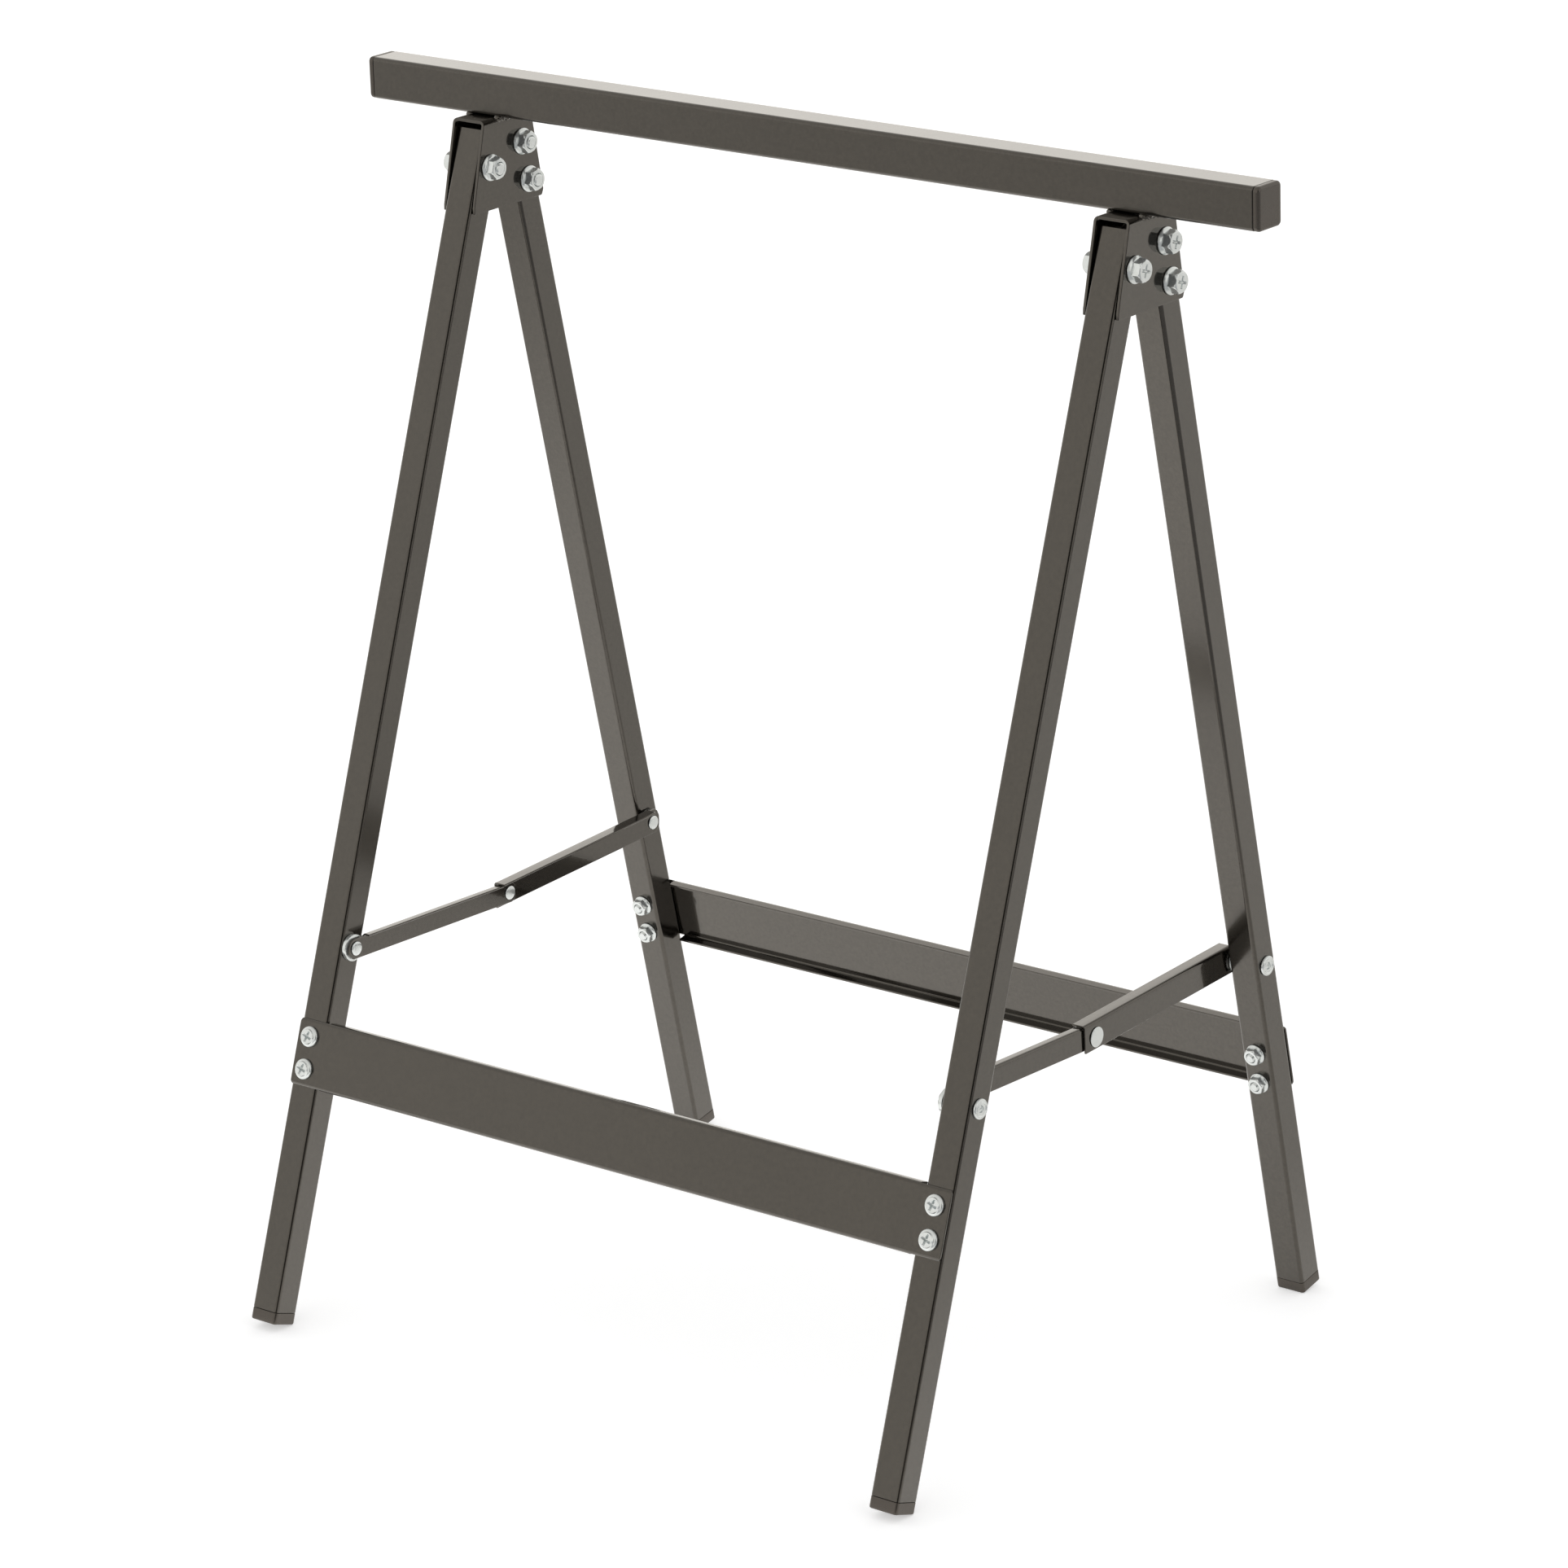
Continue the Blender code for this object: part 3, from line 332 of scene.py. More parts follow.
def rounded_section(width, depth, radius):
    """Points round a rounded rectangle: each corner's centre plus radius times (cos, sin) of an
    angle that runs a quarter turn in equal steps. One more point a short slide along the tangent
    on each side keeps the flats flat where they are smoothed."""
    share = np.concatenate([[0.0], np.linspace(0.0, 1.0, CORNER_STEPS), [1.0]])
    slide = np.tile(np.concatenate([[-FLAT_START], np.zeros(CORNER_STEPS), [FLAT_START]]), 4)
    corner = np.repeat(np.arange(4), CORNER_STEPS + 2)
    angle = (corner + np.tile(share, 4)) * np.pi / 2
    across = np.array([1, -1, -1, 1])[corner] * (width / 2 - radius)
    along = np.array([1, 1, -1, -1])[corner] * (depth / 2 - radius)
    a = across + radius * np.cos(angle) - slide * np.sin(angle)
    b = along + radius * np.sin(angle) + slide * np.cos(angle)
    return np.stack([a, b], axis=1)


def skin(name, rings, material, body, nodes=(), closed=False, sheet=False):
    """A solid skinned over rings, an array (rings, points, 3): quads join each point to the next
    round its ring and along the rings. The last ring meets the first, or open ends are closed by
    one face, or on a bent sheet by a strip of quads between its two sides. The piece rides on its
    body and stands for the CAD nodes named."""
    count, around = rings.shape[:2]
    index = np.arange(count * around).reshape(count, around)
    low = index if closed else index[:-1]
    high = np.roll(index, -1, axis=0) if closed else index[1:]
    quads = np.stack([low, np.roll(low, -1, axis=1), np.roll(high, -1, axis=1), high], axis=-1)
    faces = quads.reshape(-1, 4).tolist()
    if sheet:
        half = around // 2
        side = np.arange(half - 1)
        strip = np.stack([side, around - 1 - side, around - 2 - side, side + 1], axis=1)
        faces += strip.tolist() + (strip[:, ::-1] + (count - 1) * around).tolist()
    elif not closed:
        faces += [index[0][::-1].tolist(), index[-1].tolist()]
    mesh = bpy.data.meshes.new(name)
    mesh.from_pydata(rings.reshape(-1, 3).tolist(), [], faces)
    if signed_volume(rings, closed) < 0.0:
        mesh.flip_normals()
    mesh.shade_smooth()
    mesh.set_sharp_from_angle(angle=np.radians(SEAM_ANGLE))
    mesh.materials.append(material)
    piece = bpy.data.objects.new(name, mesh)
    bpy.context.scene.collection.objects.link(piece)
    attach(piece, body)
    if nodes:
        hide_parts(*nodes)
    return piece


def signed_volume(rings, closed):
    """Six times the volume inside rings, by summing the triple products of each quad's two
    triangles and of a fan over each end."""
    nearby = np.roll(rings, -1, axis=0) if closed else rings[1:]
    low = rings if closed else rings[:-1]
    a, b = low, np.roll(low, -1, axis=1)
    d, c = nearby, np.roll(nearby, -1, axis=1)
    total = np.sum(a * np.cross(b, c)) + np.sum(a * np.cross(c, d))
    if not closed:
        for ring, sign in ((rings[0], -1.0), (rings[-1], 1.0)):
            fan = np.cross(ring, np.roll(ring, -1, axis=0))
            total += sign * np.sum(ring.mean(axis=0) * fan)
    return total


tube_coat = coat_material("tube_coat", *TUBE_ROUGH)


def eased_section(width, depth, radius, inset):
    """The rounded rectangle drawn in by inset on every side, with its corners' centres kept."""
    return rounded_section(width - 2 * inset, depth - 2 * inset, radius - inset)


def beam_ring(section, x):
    """The section stood across X at x, centred on the beam."""
    y, z = section.T
    return np.column_stack([np.full(len(section), x), MIDDLE_OF_BEAM.y + y, MIDDLE_OF_BEAM.z + z])


beam_half = BEAM_LENGTH / 2
beam_reach = beam_half - CUT_EASE
beam_outer = rounded_section(BEAM_WIDTH, BEAM_HEIGHT, TUBE_CORNER)
beam_inner = eased_section(BEAM_WIDTH, BEAM_HEIGHT, TUBE_CORNER, BEAM_WALL)
beam_eased = [(d, eased_section(BEAM_WIDTH, BEAM_HEIGHT, TUBE_CORNER, g)) for d, g in CUT_EDGE]
beam_middle = np.linspace(FLAT_START - beam_reach, beam_reach - FLAT_START, TUBE_STATIONS)
beam_rings = [beam_ring(section, depth - beam_half) for depth, section in beam_eased[::-1]]
beam_rings += [beam_ring(beam_outer, x) for x in (-beam_reach, *beam_middle, beam_reach)]
beam_rings += [beam_ring(section, beam_half - depth) for depth, section in beam_eased]
beam_rings += [beam_ring(beam_inner, x) for x in (beam_half, -beam_half)]
skin("beam_tube", np.array(beam_rings), tube_coat, "rear_frame", ["beam"], closed=True)

# Beam plugs: moulded black plastic caps pushed into the tube's ends. Each has a 4 mm
# flange as large as the tube, with softly rounded outer edges and a flat face, and a
# shank that grips inside.

SIDES = (("left", -1), ("right", 1))
GAP = 0.0003
CAP_FLANGE = 0.004
CAP_ROUND = 0.0018
CAP_SHANK = 0.014
CAP_CORNER = TUBE_CORNER + 0.0006
LEAST_CORNER = 0.0008
PLUG_FACE_STEPS = (0.0040, 0.0010)
PLUG_EDGE_STEPS = 7
SHANK_INSET = 0.0018
PLASTIC_BLACK = np.array((0.027, 0.0235, 0.0205))
PLASTIC_DARK = (*(PLASTIC_BLACK * 0.7), 1.0)
PLASTIC_LIGHT = (*(PLASTIC_BLACK * 1.5), 1.0)
PLASTIC_TINT = (1.0, 0.90, 0.80, 1.0)
PLASTIC_IOR = 1.80
PLASTIC_ROUGH = 0.26
PLASTIC_NOISE = (60.0, 4.0)
GRAIN_NOISE = (1800.0, 3.0)
GRAIN_STRENGTH = 0.5
GRAIN_HEIGHT = 0.00003


def moulded_material(name):
    """Moulded plastic: one dark tone with faint clouds, and a fine spark-eroded grain in the
    normal that also breaks up the gloss."""
    made, tree, shader, where = start_material(name)
    shader.inputs["IOR"].default_value = PLASTIC_IOR
    shader.inputs["Specular Tint"].default_value = PLASTIC_TINT
    clouds = noise_node(tree, where, *PLASTIC_NOISE)
    toned = color_node(tree, clouds, PLASTIC_DARK, PLASTIC_LIGHT)
    rough = (PLASTIC_ROUGH * LEAST_ROUGH, PLASTIC_ROUGH * MOST_ROUGH)
    rubbed = ramp_node(tree, clouds, (0.0, 1.0), *rough)
    grain = bump_node(tree, noise_node(tree, where, *GRAIN_NOISE), GRAIN_STRENGTH, GRAIN_HEIGHT)
    tree.links.new(toned, shader.inputs["Base Color"])
    tree.links.new(rubbed, shader.inputs["Roughness"])
    tree.links.new(grain, shader.inputs["Normal"])
    return made


plastic = moulded_material("moulded_plug")


def plug_profile(flange, edge, shank):
    """Depth and inset along a plug from the middle of its face: flat, round the flange's edge by a
    quarter circle, down the flange, round its eased back edge, in to the shank, and along it."""
    angle = np.linspace(np.pi / 2, 0.0, PLUG_EDGE_STEPS)
    back_depth, back_inset = np.array(CUT_EDGE).T
    edge_depth, edge_round = edge * (1 - np.sin(angle)), edge * (1 - np.cos(angle))
    shank_depth = [flange, flange + shank]
    depth = [[0.0, 0.0], edge_depth, [flange - CUT_EASE], flange - back_depth, shank_depth]
    inset = [np.add(edge, PLUG_FACE_STEPS), edge_round, [0.0], back_inset, [SHANK_INSET] * 2]
    return np.concatenate(depth), np.concatenate(inset)


def plug_sections(width, depth, corner, insets):
    """The plug's rounded rectangle drawn in by each inset, with a corner that never closes up."""
    corners = np.maximum(corner - insets, LEAST_CORNER)
    return [rounded_section(width - 2 * g, depth - 2 * g, r) for g, r in zip(insets, corners)]


for side_name, side in SIDES:
    depths, insets = plug_profile(CAP_FLANGE, CAP_ROUND, CAP_SHANK)
    sections = plug_sections(BEAM_WIDTH, BEAM_HEIGHT, CAP_CORNER, insets)
    cap_end = side * (beam_half + CAP_FLANGE + GAP)
    rings = [beam_ring(section, cap_end - side * d) for section, d in zip(sections, depths)]
    node = f"beam_cap_{side_name}"
    skin(f"beam_plug_{side_name}", np.array(rings), plastic, "rear_frame", [node])

# Legs: square steel tube, about 20 mm, coated like the beam. The front pair hangs on
# the pivot bolts and leans 19 degrees, and the rear pair is bolted fast and leans 12.
# Both are cut square, and moulded foot plugs 7.5 mm high close the lower ends.

LEG_WIDTH = 0.0206
LEG_DEPTH = 0.0193
LEG_WALL = 0.0013
LEG_CORNER = 0.0022
FRONT_TILT = np.radians(19.1)
REAR_TILT = np.radians(11.8)
LEG_TOP = {"front": 0.0215, "rear": 0.0195}
REAR_AXIS_BEHIND_PIVOT = 0.0325
FOOT_HEIGHT = 0.0075
FOOT_EDGE = 0.0012
FOOT_SHANK = 0.016
pivot_place = Vector(frame["joints"][0]["pos_m"])
leg_middle = (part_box("front_leg_right")[0].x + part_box("front_leg_right")[1].x) / 2


class LegFrame:
    """Coordinates of one leg frame: x stays, out runs square to the legs away from the trestle's
    middle, and up runs along the legs from the pivot's level. A foot's face lies drop below that,
    so that its lower edge meets the floor: the pivot's height, less how far that edge hangs below
    the leg's middle, over the tilt's cosine."""

    def __init__(self, origin, tilt, outward):
        self.origin = np.array(origin)
        self.out = np.array([0.0, outward * np.cos(tilt), np.sin(tilt)])
        self.up = np.array([0.0, -outward * np.sin(tilt), np.cos(tilt)])
        self.drop = (pivot_place.z - np.sin(tilt) * (LEG_DEPTH / 2 - FOOT_EDGE)) / np.cos(tilt)

    def place(self, points):
        """World points for an array (..., 3) of x, out and up."""
        x = points[..., 0:1] * np.array([1.0, 0.0, 0.0])
        return self.origin + x + points[..., 1:2] * self.out + points[..., 2:3] * self.up


front = LegFrame((0.0, pivot_place.y, pivot_place.z), FRONT_TILT, -1)
rear = LegFrame((0.0, pivot_place.y + REAR_AXIS_BEHIND_PIVOT, pivot_place.z), REAR_TILT, 1)
LEG_FRAMES = (("front", front, "front_frame"), ("rear", rear, "rear_frame"))
leg_outer = rounded_section(LEG_WIDTH, LEG_DEPTH, LEG_CORNER)
leg_inner = eased_section(LEG_WIDTH, LEG_DEPTH, LEG_CORNER, LEG_WALL)


def leg_ring(section, x, up):
    """The section laid across a leg at height up."""
    return np.column_stack([x + section[:, 0], section[:, 1], np.full(len(section), up)])


for name, legs, body in LEG_FRAMES:
    low, top = FOOT_HEIGHT + GAP - legs.drop, LEG_TOP[name]
    for side_name, side in SIDES:
        x = side * leg_middle
        rings = [leg_ring(leg_outer, x, up) for up in np.linspace(low, top, TUBE_STATIONS)]
        rings += [leg_ring(leg_inner, x, top), leg_ring(leg_inner, x, low)]
        rings = legs.place(np.array(rings))
        node = f"{name}_leg_{side_name}"
        skin(f"{node}_tube", rings, tube_coat, body, [node], closed=True)
        depths, insets = plug_profile(FOOT_HEIGHT, FOOT_EDGE, FOOT_SHANK)
        sections = plug_sections(LEG_WIDTH, LEG_DEPTH, LEG_CORNER, insets)
        rings = [leg_ring(section, x, d - legs.drop) for section, d in zip(sections, depths)]
        node = f"{name}_foot_{side_name}"
        skin(f"{node}_plug", legs.place(np.array(rings)), plastic, body, [node])

# Head brackets: 2 mm sheet folded to an upside-down U over the leg tops, its cheeks
# cut to a trapezium with rounded toes. The cut edges are softened by the coat. A
# lumpy fillet weld down each side joins the bracket's bend to the beam's underside.

SHEET = 0.0020
BRACKET_BEND = 0.0035
BRACKET_DROP = 0.0570
BRACKET_TOP_FRONT = 0.0240
BRACKET_TOP_REAR = 0.0200
BRACKET_TOE_FRONT = 0.0375
BRACKET_TOE_REAR = 0.0295
TOE_ROUND_FRONT = 0.0020
TOE_ROUND_REAR = 0.0040
CHEEK_CLEAR = 0.0005
CHEEK_OUT = LEG_WIDTH / 2 + CHEEK_CLEAR + SHEET
BEND_STEPS = 10
BRACKET_COLUMNS = 12
EDGE_ROUND = 0.00035
EDGE_STEPS = np.array([0.0, 0.13, 0.5, 1.0, 1.6]) * EDGE_ROUND
FINEST_STEP = 0.00004
COARSEST_STEP = 0.004
SHEET_ROUGH = (0.13, 0.04)
WELD_RADIUS = 0.0025
WELD_OVERRUN = 0.0032
WELD_RIPPLE = 0.00034
WELD_FROM_FACE = 0.0013
WELD_BELOW_BEAM = 0.0012
WELD_STATIONS = 61
WELD_POINTS = 20
WELD_END = 0.02
WELD_WAVES = ((1.0, 38.0, 1.0), (0.7, 23.0, 2.0), (0.5, 71.0, 0.0))
WELD_LUMPS = (0.06, 3.0, 9.0)
beam_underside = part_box("beam")[0].z


def bent_path(corners, radius):
    """A path through corners, each rounded by an arc of this radius about a centre on the corner's
    halving line, at the radius over the sine of half its angle."""
    corners = np.array(corners, float)
    pieces = [corners[:1]]
    for before, here, after in zip(corners, corners[1:], corners[2:]):
        back = (before - here) / np.linalg.norm(before - here)
        on = (after - here) / np.linalg.norm(after - here)
        half = np.arccos(np.clip(back @ on, -1.0, 1.0)) / 2
        centre = here + (back + on) / np.linalg.norm(back + on) * radius / np.sin(half)
        arm = here + back * radius / np.tan(half) - centre
        end = here + on * radius / np.tan(half) - centre
        turn = np.arctan2(arm[0] * end[1] - arm[1] * end[0], arm @ end)
        sweep = turn * np.linspace(0.0, 1.0, BEND_STEPS)
        square_arm = [-arm[1], arm[0]]
        pieces.append(centre + np.outer(np.cos(sweep), arm) + np.outer(np.sin(sweep), square_arm))
    pieces.append(corners[-1:])
    return np.concatenate(pieces)


def path_distance(path):
    """The distance along a path at each of its points: the sum of the chords up to it."""
    return np.concatenate([[0.0], np.cumsum(np.linalg.norm(np.diff(path, axis=0), axis=1))])


def sheet_stations(length, marks):
    """Distances along a path: close together by its ends, at every point of the path itself, just
    before and after each marked distance, and never further apart than the coarsest step."""
    even = np.linspace(0.0, length[-1], int(length[-1] / COARSEST_STEP) + 2)
    beside = [mark + shift for mark in marks for shift in (-FINEST_STEP / 2, FINEST_STEP / 2)]
    found = np.unique(np.concatenate([length, EDGE_STEPS, length[-1] - EDGE_STEPS, even, beside]))
    kept = np.concatenate([[True], np.diff(found) > FINEST_STEP * 0.4])
    return found[kept]


def edge_inset(distance):
    """How far a face draws in towards the sheet's middle at a distance from a cut edge: the gap
    between a quarter circle of the edge's radius and its tangent."""
    depth = np.clip(EDGE_ROUND - distance, 0.0, EDGE_ROUND)
    return EDGE_ROUND - np.sqrt(EDGE_ROUND ** 2 - depth ** 2)


def bent_sheet(path, thickness, ends, columns, marks=()):
    """Rings over a bent sheet as (run, a, b) points. The path (a, b) is the sheet's middle, ends
    gives the sheet's first and last run for arrays of distance, a and b, and both faces stand half
    the thickness off the path along its normal, drawn in near every cut edge."""
    length = path_distance(path)
    along = sheet_stations(length, marks)
    middle = np.stack([np.interp(along, length, path[:, i]) for i in (0, 1)], axis=1)
    slope = np.gradient(middle, along, axis=0)
    normal = np.stack([slope[:, 1], -slope[:, 0]], axis=1) / np.linalg.norm(slope, axis=1)[:, None]
    first, last = ends(along, middle[:, 0], middle[:, 1])
    share = np.concatenate([np.zeros(len(EDGE_STEPS)), np.linspace(0.0, 0.5, columns)[1:]])
    inset = np.concatenate([EDGE_STEPS, np.full(columns - 1, EDGE_STEPS[-1])])
    share = np.concatenate([share, 1.0 - share[-2::-1]])[:, None]
    inset = np.concatenate([inset, -inset[-2::-1]])[:, None]
    run = first * (1.0 - share) + last * share + inset
    from_side = edge_inset(np.minimum(along, length[-1] - along))
    half = thickness / 2 - np.maximum(from_side[None, :], edge_inset(np.abs(inset)))
    outer = middle[None] + normal[None] * half[..., None]
    inner = middle[None] - normal[None] * half[..., None]
    face = np.concatenate([outer, inner[:, ::-1]], axis=1)
    return np.concatenate([np.concatenate([run, run[:, ::-1]], axis=1)[..., None], face], axis=-1)


def toe_inset(height, radius):
    """How far a corner of this radius draws an edge in, at a height from the edge beside it: the
    radius less the half chord of its circle there."""
    inside = np.clip(radius - height, 0.0, radius)
    return radius - np.sqrt(np.maximum(radius ** 2 - inside ** 2, 0.0))


def bracket_ends(along, across, height):
    """Front and rear edge of the bracket at a height: the sloped cut and its rounded toes."""
    share = np.clip(-height / BRACKET_DROP, 0.0, 1.0)
    first = -(BRACKET_TOP_FRONT + (BRACKET_TOE_FRONT - BRACKET_TOP_FRONT) * share)
    last = BRACKET_TOP_REAR + (BRACKET_TOE_REAR - BRACKET_TOP_REAR) * share
    foot = height + BRACKET_DROP
    return first + toe_inset(foot, TOE_ROUND_FRONT), last - toe_inset(foot, TOE_ROUND_REAR)


cheek_middle = CHEEK_OUT - SHEET / 2
web_middle = -GAP - SHEET / 2
bracket_half = [(cheek_middle, -BRACKET_DROP), (cheek_middle, web_middle)]
bracket_corners = bracket_half + [(-x, z) for x, z in bracket_half[::-1]]
bracket_path = bent_path(bracket_corners, BRACKET_BEND - SHEET / 2)
bracket_rings = bent_sheet(bracket_path, SHEET, bracket_ends, BRACKET_COLUMNS)[..., [1, 0, 2]]
sheet_coat = coat_material("sheet_coat", *SHEET_ROUGH)


def weld_bead(start, end, seed):
    """Rings along a weld: circles whose radius swells and shrinks with overlapping sines, rounded
    off at both ends by a half circle, and lumpy round their rim by another sine."""
    share = np.linspace(0.0, 1.0, WELD_STATIONS)
    from_end = np.minimum(share, 1.0 - share) * np.linalg.norm(end - start) / WELD_RADIUS
    closing = np.sqrt(np.clip(1.0 - np.clip(1.0 - from_end, 0.0, 1.0) ** 2, WELD_END, 1.0))
    wave = sum(height * np.sin(share * beat + seed * shift) for height, beat, shift in WELD_WAVES)
    size = (WELD_RADIUS + WELD_RIPPLE * wave) * closing
    angle = np.linspace(0.0, 2 * np.pi, WELD_POINTS, endpoint=False)
    height, lumps, twist = WELD_LUMPS
    lump = 1.0 + height * np.sin(lumps * angle[None] + twist * share[:, None])
    path = start + share[:, None] * (end - start)
    around = np.stack([np.cos(angle), np.zeros(WELD_POINTS), np.sin(angle)], axis=1)
    return path[:, None] + around[None] * (size[:, None] * lump)[..., None]


for side_name, side in SIDES:
    place = np.array([side * leg_middle, MIDDLE_OF_BEAM.y, beam_underside])
    rings = bracket_rings + place
    node = f"head_bracket_{side_name}"
    skin(f"{node}_sheet", rings, sheet_coat, "rear_frame", [node], sheet=True)
    for weld, across in enumerate((-1, 1)):
        middle = place + [across * (CHEEK_OUT - WELD_FROM_FACE), 0.0, -WELD_BELOW_BEAM]
        reach = np.array([0.0, BEAM_WIDTH / 2 - TUBE_CORNER + WELD_OVERRUN, 0.0])
        bead = weld_bead(middle - reach, middle + reach, weld + 2.0 * side)
        skin(f"{node}_weld_{weld}", bead, sheet_coat, "rear_frame")

# Head bolts and nuts: three flange bolts through each bracket, their heads on the outer
# cheeks and their nuts on the inner ones. Zinc-plated steel. The heads are hexagons with
# a cross recess, the nuts are chamfered, and the threads stand a little out of them.

HEAD_SHANK = 0.0038
HEAD_FLANGE = 0.0084
HEAD_FLANGE_THICK = 0.0015
HEAD_HEX = 0.0063
HEAD_HEX_HEIGHT = 0.0062
HEAD_RECESS = (0.0026, 0.0040)
NUT_HEX_HEIGHT = 0.0058
BORE_EASE = 0.0007
BORE_CHAMFER = 0.0004
BOLT_TAIL = 0.0010
THREAD_PITCH = 0.00125
THREAD_DEPTH = 0.00045
THREAD_CONE = 0.0006
THREAD_ROWS = 14
THREAD_START = 0.0009
SHANK_SHORT = 0.0010
POLE = 0.0001
HEX_FACE_EDGE = 0.0004
HEX_FACE_ROWS = 16
RECESS_ARM = 0.00075
RECESS_SOFT = 0.00025
RECESS_END = 0.0005
RECESS_FACE = 0.002
RECESS_TAPER = 1.3
HEAD_BOLTS = {"pivot": (front, 0.0), "upper": (rear, 0.0110), "lower": (rear, -0.0145)}
ROUND_POINTS = 72
OFF_AXIS = (0.31, 0.27, 0.91)
NO_FLATS = 1.0
ZINC_COLOR = np.array((0.845, 0.88, 0.895))
ZINC_TARNISH = np.array((0.90, 0.90, 0.90 * 0.96))
ZINC_METAL = 0.74
BLOTCH_NOISE = (260.0, 3.0)
BLOTCH_EDGE = (0.3, 0.7)
BLOTCH_ROUGH = (0.20 * 1.15, 0.20 * 0.88)
ZINC_NOISE = (2400.0, 2.0)
ZINC_GRAIN_STRENGTH = 0.12
ZINC_GRAIN_HEIGHT = 0.00002


def plated_material(name):
    """Zinc plate: a metal whose tone and roughness drift with a noise, duller in small blotches,
    with a fine grain in the normal."""
    made, tree, shader, where = start_material(name)
    shader.inputs["Metallic"].default_value = ZINC_METAL
    blotch = noise_node(tree, where, *BLOTCH_NOISE)
    toned = color_node(tree, blotch, (*(ZINC_COLOR * ZINC_TARNISH), 1.0), (*ZINC_COLOR, 1.0))
    rubbed = ramp_node(tree, blotch, BLOTCH_EDGE, *BLOTCH_ROUGH)
    fine = noise_node(tree, where, *ZINC_NOISE)
    grain = bump_node(tree, fine, ZINC_GRAIN_STRENGTH, ZINC_GRAIN_HEIGHT)
    tree.links.new(toned, shader.inputs["Base Color"])
    tree.links.new(rubbed, shader.inputs["Roughness"])
    tree.links.new(grain, shader.inputs["Normal"])
    return made


def turned(stations, axis, recess=None):
    """Rings round an axis from rows of (distance along, round radius, hexagon's half width). At
    each angle the radius is the smaller of the circle's and the hexagon's, the half width over the
    cosine of the angle from the nearest flat. A cross recess of a depth and a span sinks the
    face's points near two crossed lines, most in the middle."""
    angle = np.linspace(0.0, 2 * np.pi, ROUND_POINTS, endpoint=False)
    from_flat = (angle + np.pi / 6) % (np.pi / 3) - np.pi / 6
    distance, radius, flats = np.array(stations, float).T[..., None]
    reach = np.minimum(radius, flats / np.cos(from_flat))
    a, b = reach * np.cos(angle), reach * np.sin(angle)
    sunk = distance + 0.0 * reach
    if recess:
        depth, span = recess
        arm = np.clip((RECESS_ARM - np.minimum(np.abs(a), np.abs(b))) / RECESS_SOFT, 0.0, 1.0)
        arm = arm * np.clip((span - reach) / RECESS_END, 0.0, 1.0)
        sink = depth * np.clip(RECESS_TAPER - reach / span, 0.0, 1.0)
        sunk = sunk - sink * arm * (distance >= np.max(distance) - RECESS_FACE)
    axis = np.array(axis, float)
    side_a = np.cross(OFF_AXIS, axis)
    side_a /= np.linalg.norm(side_a)
    side_b = np.cross(axis, side_a)
    return sunk[..., None] * axis + a[..., None] * side_a + b[..., None] * side_b


def thread_rows(start, end, radius, pitch):
    """Rows down a threaded end: the radius dips once in each pitch, and a cone eases the tip."""
    place = start + (end - start) * np.linspace(0.0, 1.0, THREAD_ROWS)
    dip = 0.5 - 0.5 * np.cos(2 * np.pi * np.abs(place - start) / pitch)
    cone = np.clip(np.abs(end - place) / THREAD_CONE, 0.0, 1.0)
    size = radius - THREAD_DEPTH * dip - THREAD_CONE * (1.0 - cone)
    return [(p, s, NO_FLATS) for p, s in zip(place, size)]


zinc = plated_material("zinc_plate")
seat = CHEEK_OUT + GAP
hex_foot = seat + HEAD_FLANGE_THICK
bolt_top = hex_foot + HEAD_HEX_HEIGHT
nut_top = hex_foot + NUT_HEX_HEIGHT
flange_rows = [
    (hex_foot + 0.0003, HEAD_HEX * 1.10, NO_FLATS),
    (hex_foot, HEAD_HEX * 1.16, NO_FLATS),
    (hex_foot - 0.0004, HEAD_FLANGE - 0.0004, NO_FLATS),
    (hex_foot - 0.0007, HEAD_FLANGE - 0.0001, NO_FLATS),
    (seat + 0.0003, HEAD_FLANGE, NO_FLATS),
    (seat, HEAD_FLANGE - 0.0003, NO_FLATS),
]
hex_chamfer = [(-0.0001, -0.0002), (-0.0004, 0.0002), (-0.0008, 0.0006), (-0.0014, 0.0012)]
below_chamfer = [(hex_foot + 0.0004, HEAD_HEX + 0.0012, HEAD_HEX)] + flange_rows
face_radii = np.linspace(POLE, HEAD_HEX - HEX_FACE_EDGE, HEX_FACE_ROWS)
bolt_rows = [(bolt_top, r, NO_FLATS) for r in face_radii]
bolt_rows += [(bolt_top + d, HEAD_HEX + r, HEAD_HEX) for d, r in hex_chamfer] + below_chamfer
bolt_rows += [(seat, HEAD_SHANK, NO_FLATS), (SHANK_SHORT - nut_top, HEAD_SHANK, NO_FLATS)]
bolt_rows += thread_rows(THREAD_START - nut_top, -nut_top - BOLT_TAIL, HEAD_SHANK, THREAD_PITCH)
nut_rows = [
    (seat, HEAD_SHANK + GAP, NO_FLATS),
    (nut_top - BORE_CHAMFER, HEAD_SHANK + GAP, NO_FLATS),
    (nut_top, HEAD_SHANK + BORE_EASE, NO_FLATS),
]
nut_rows += [(nut_top + d, HEAD_HEX + r, HEAD_HEX) for d, r in hex_chamfer] + below_chamfer
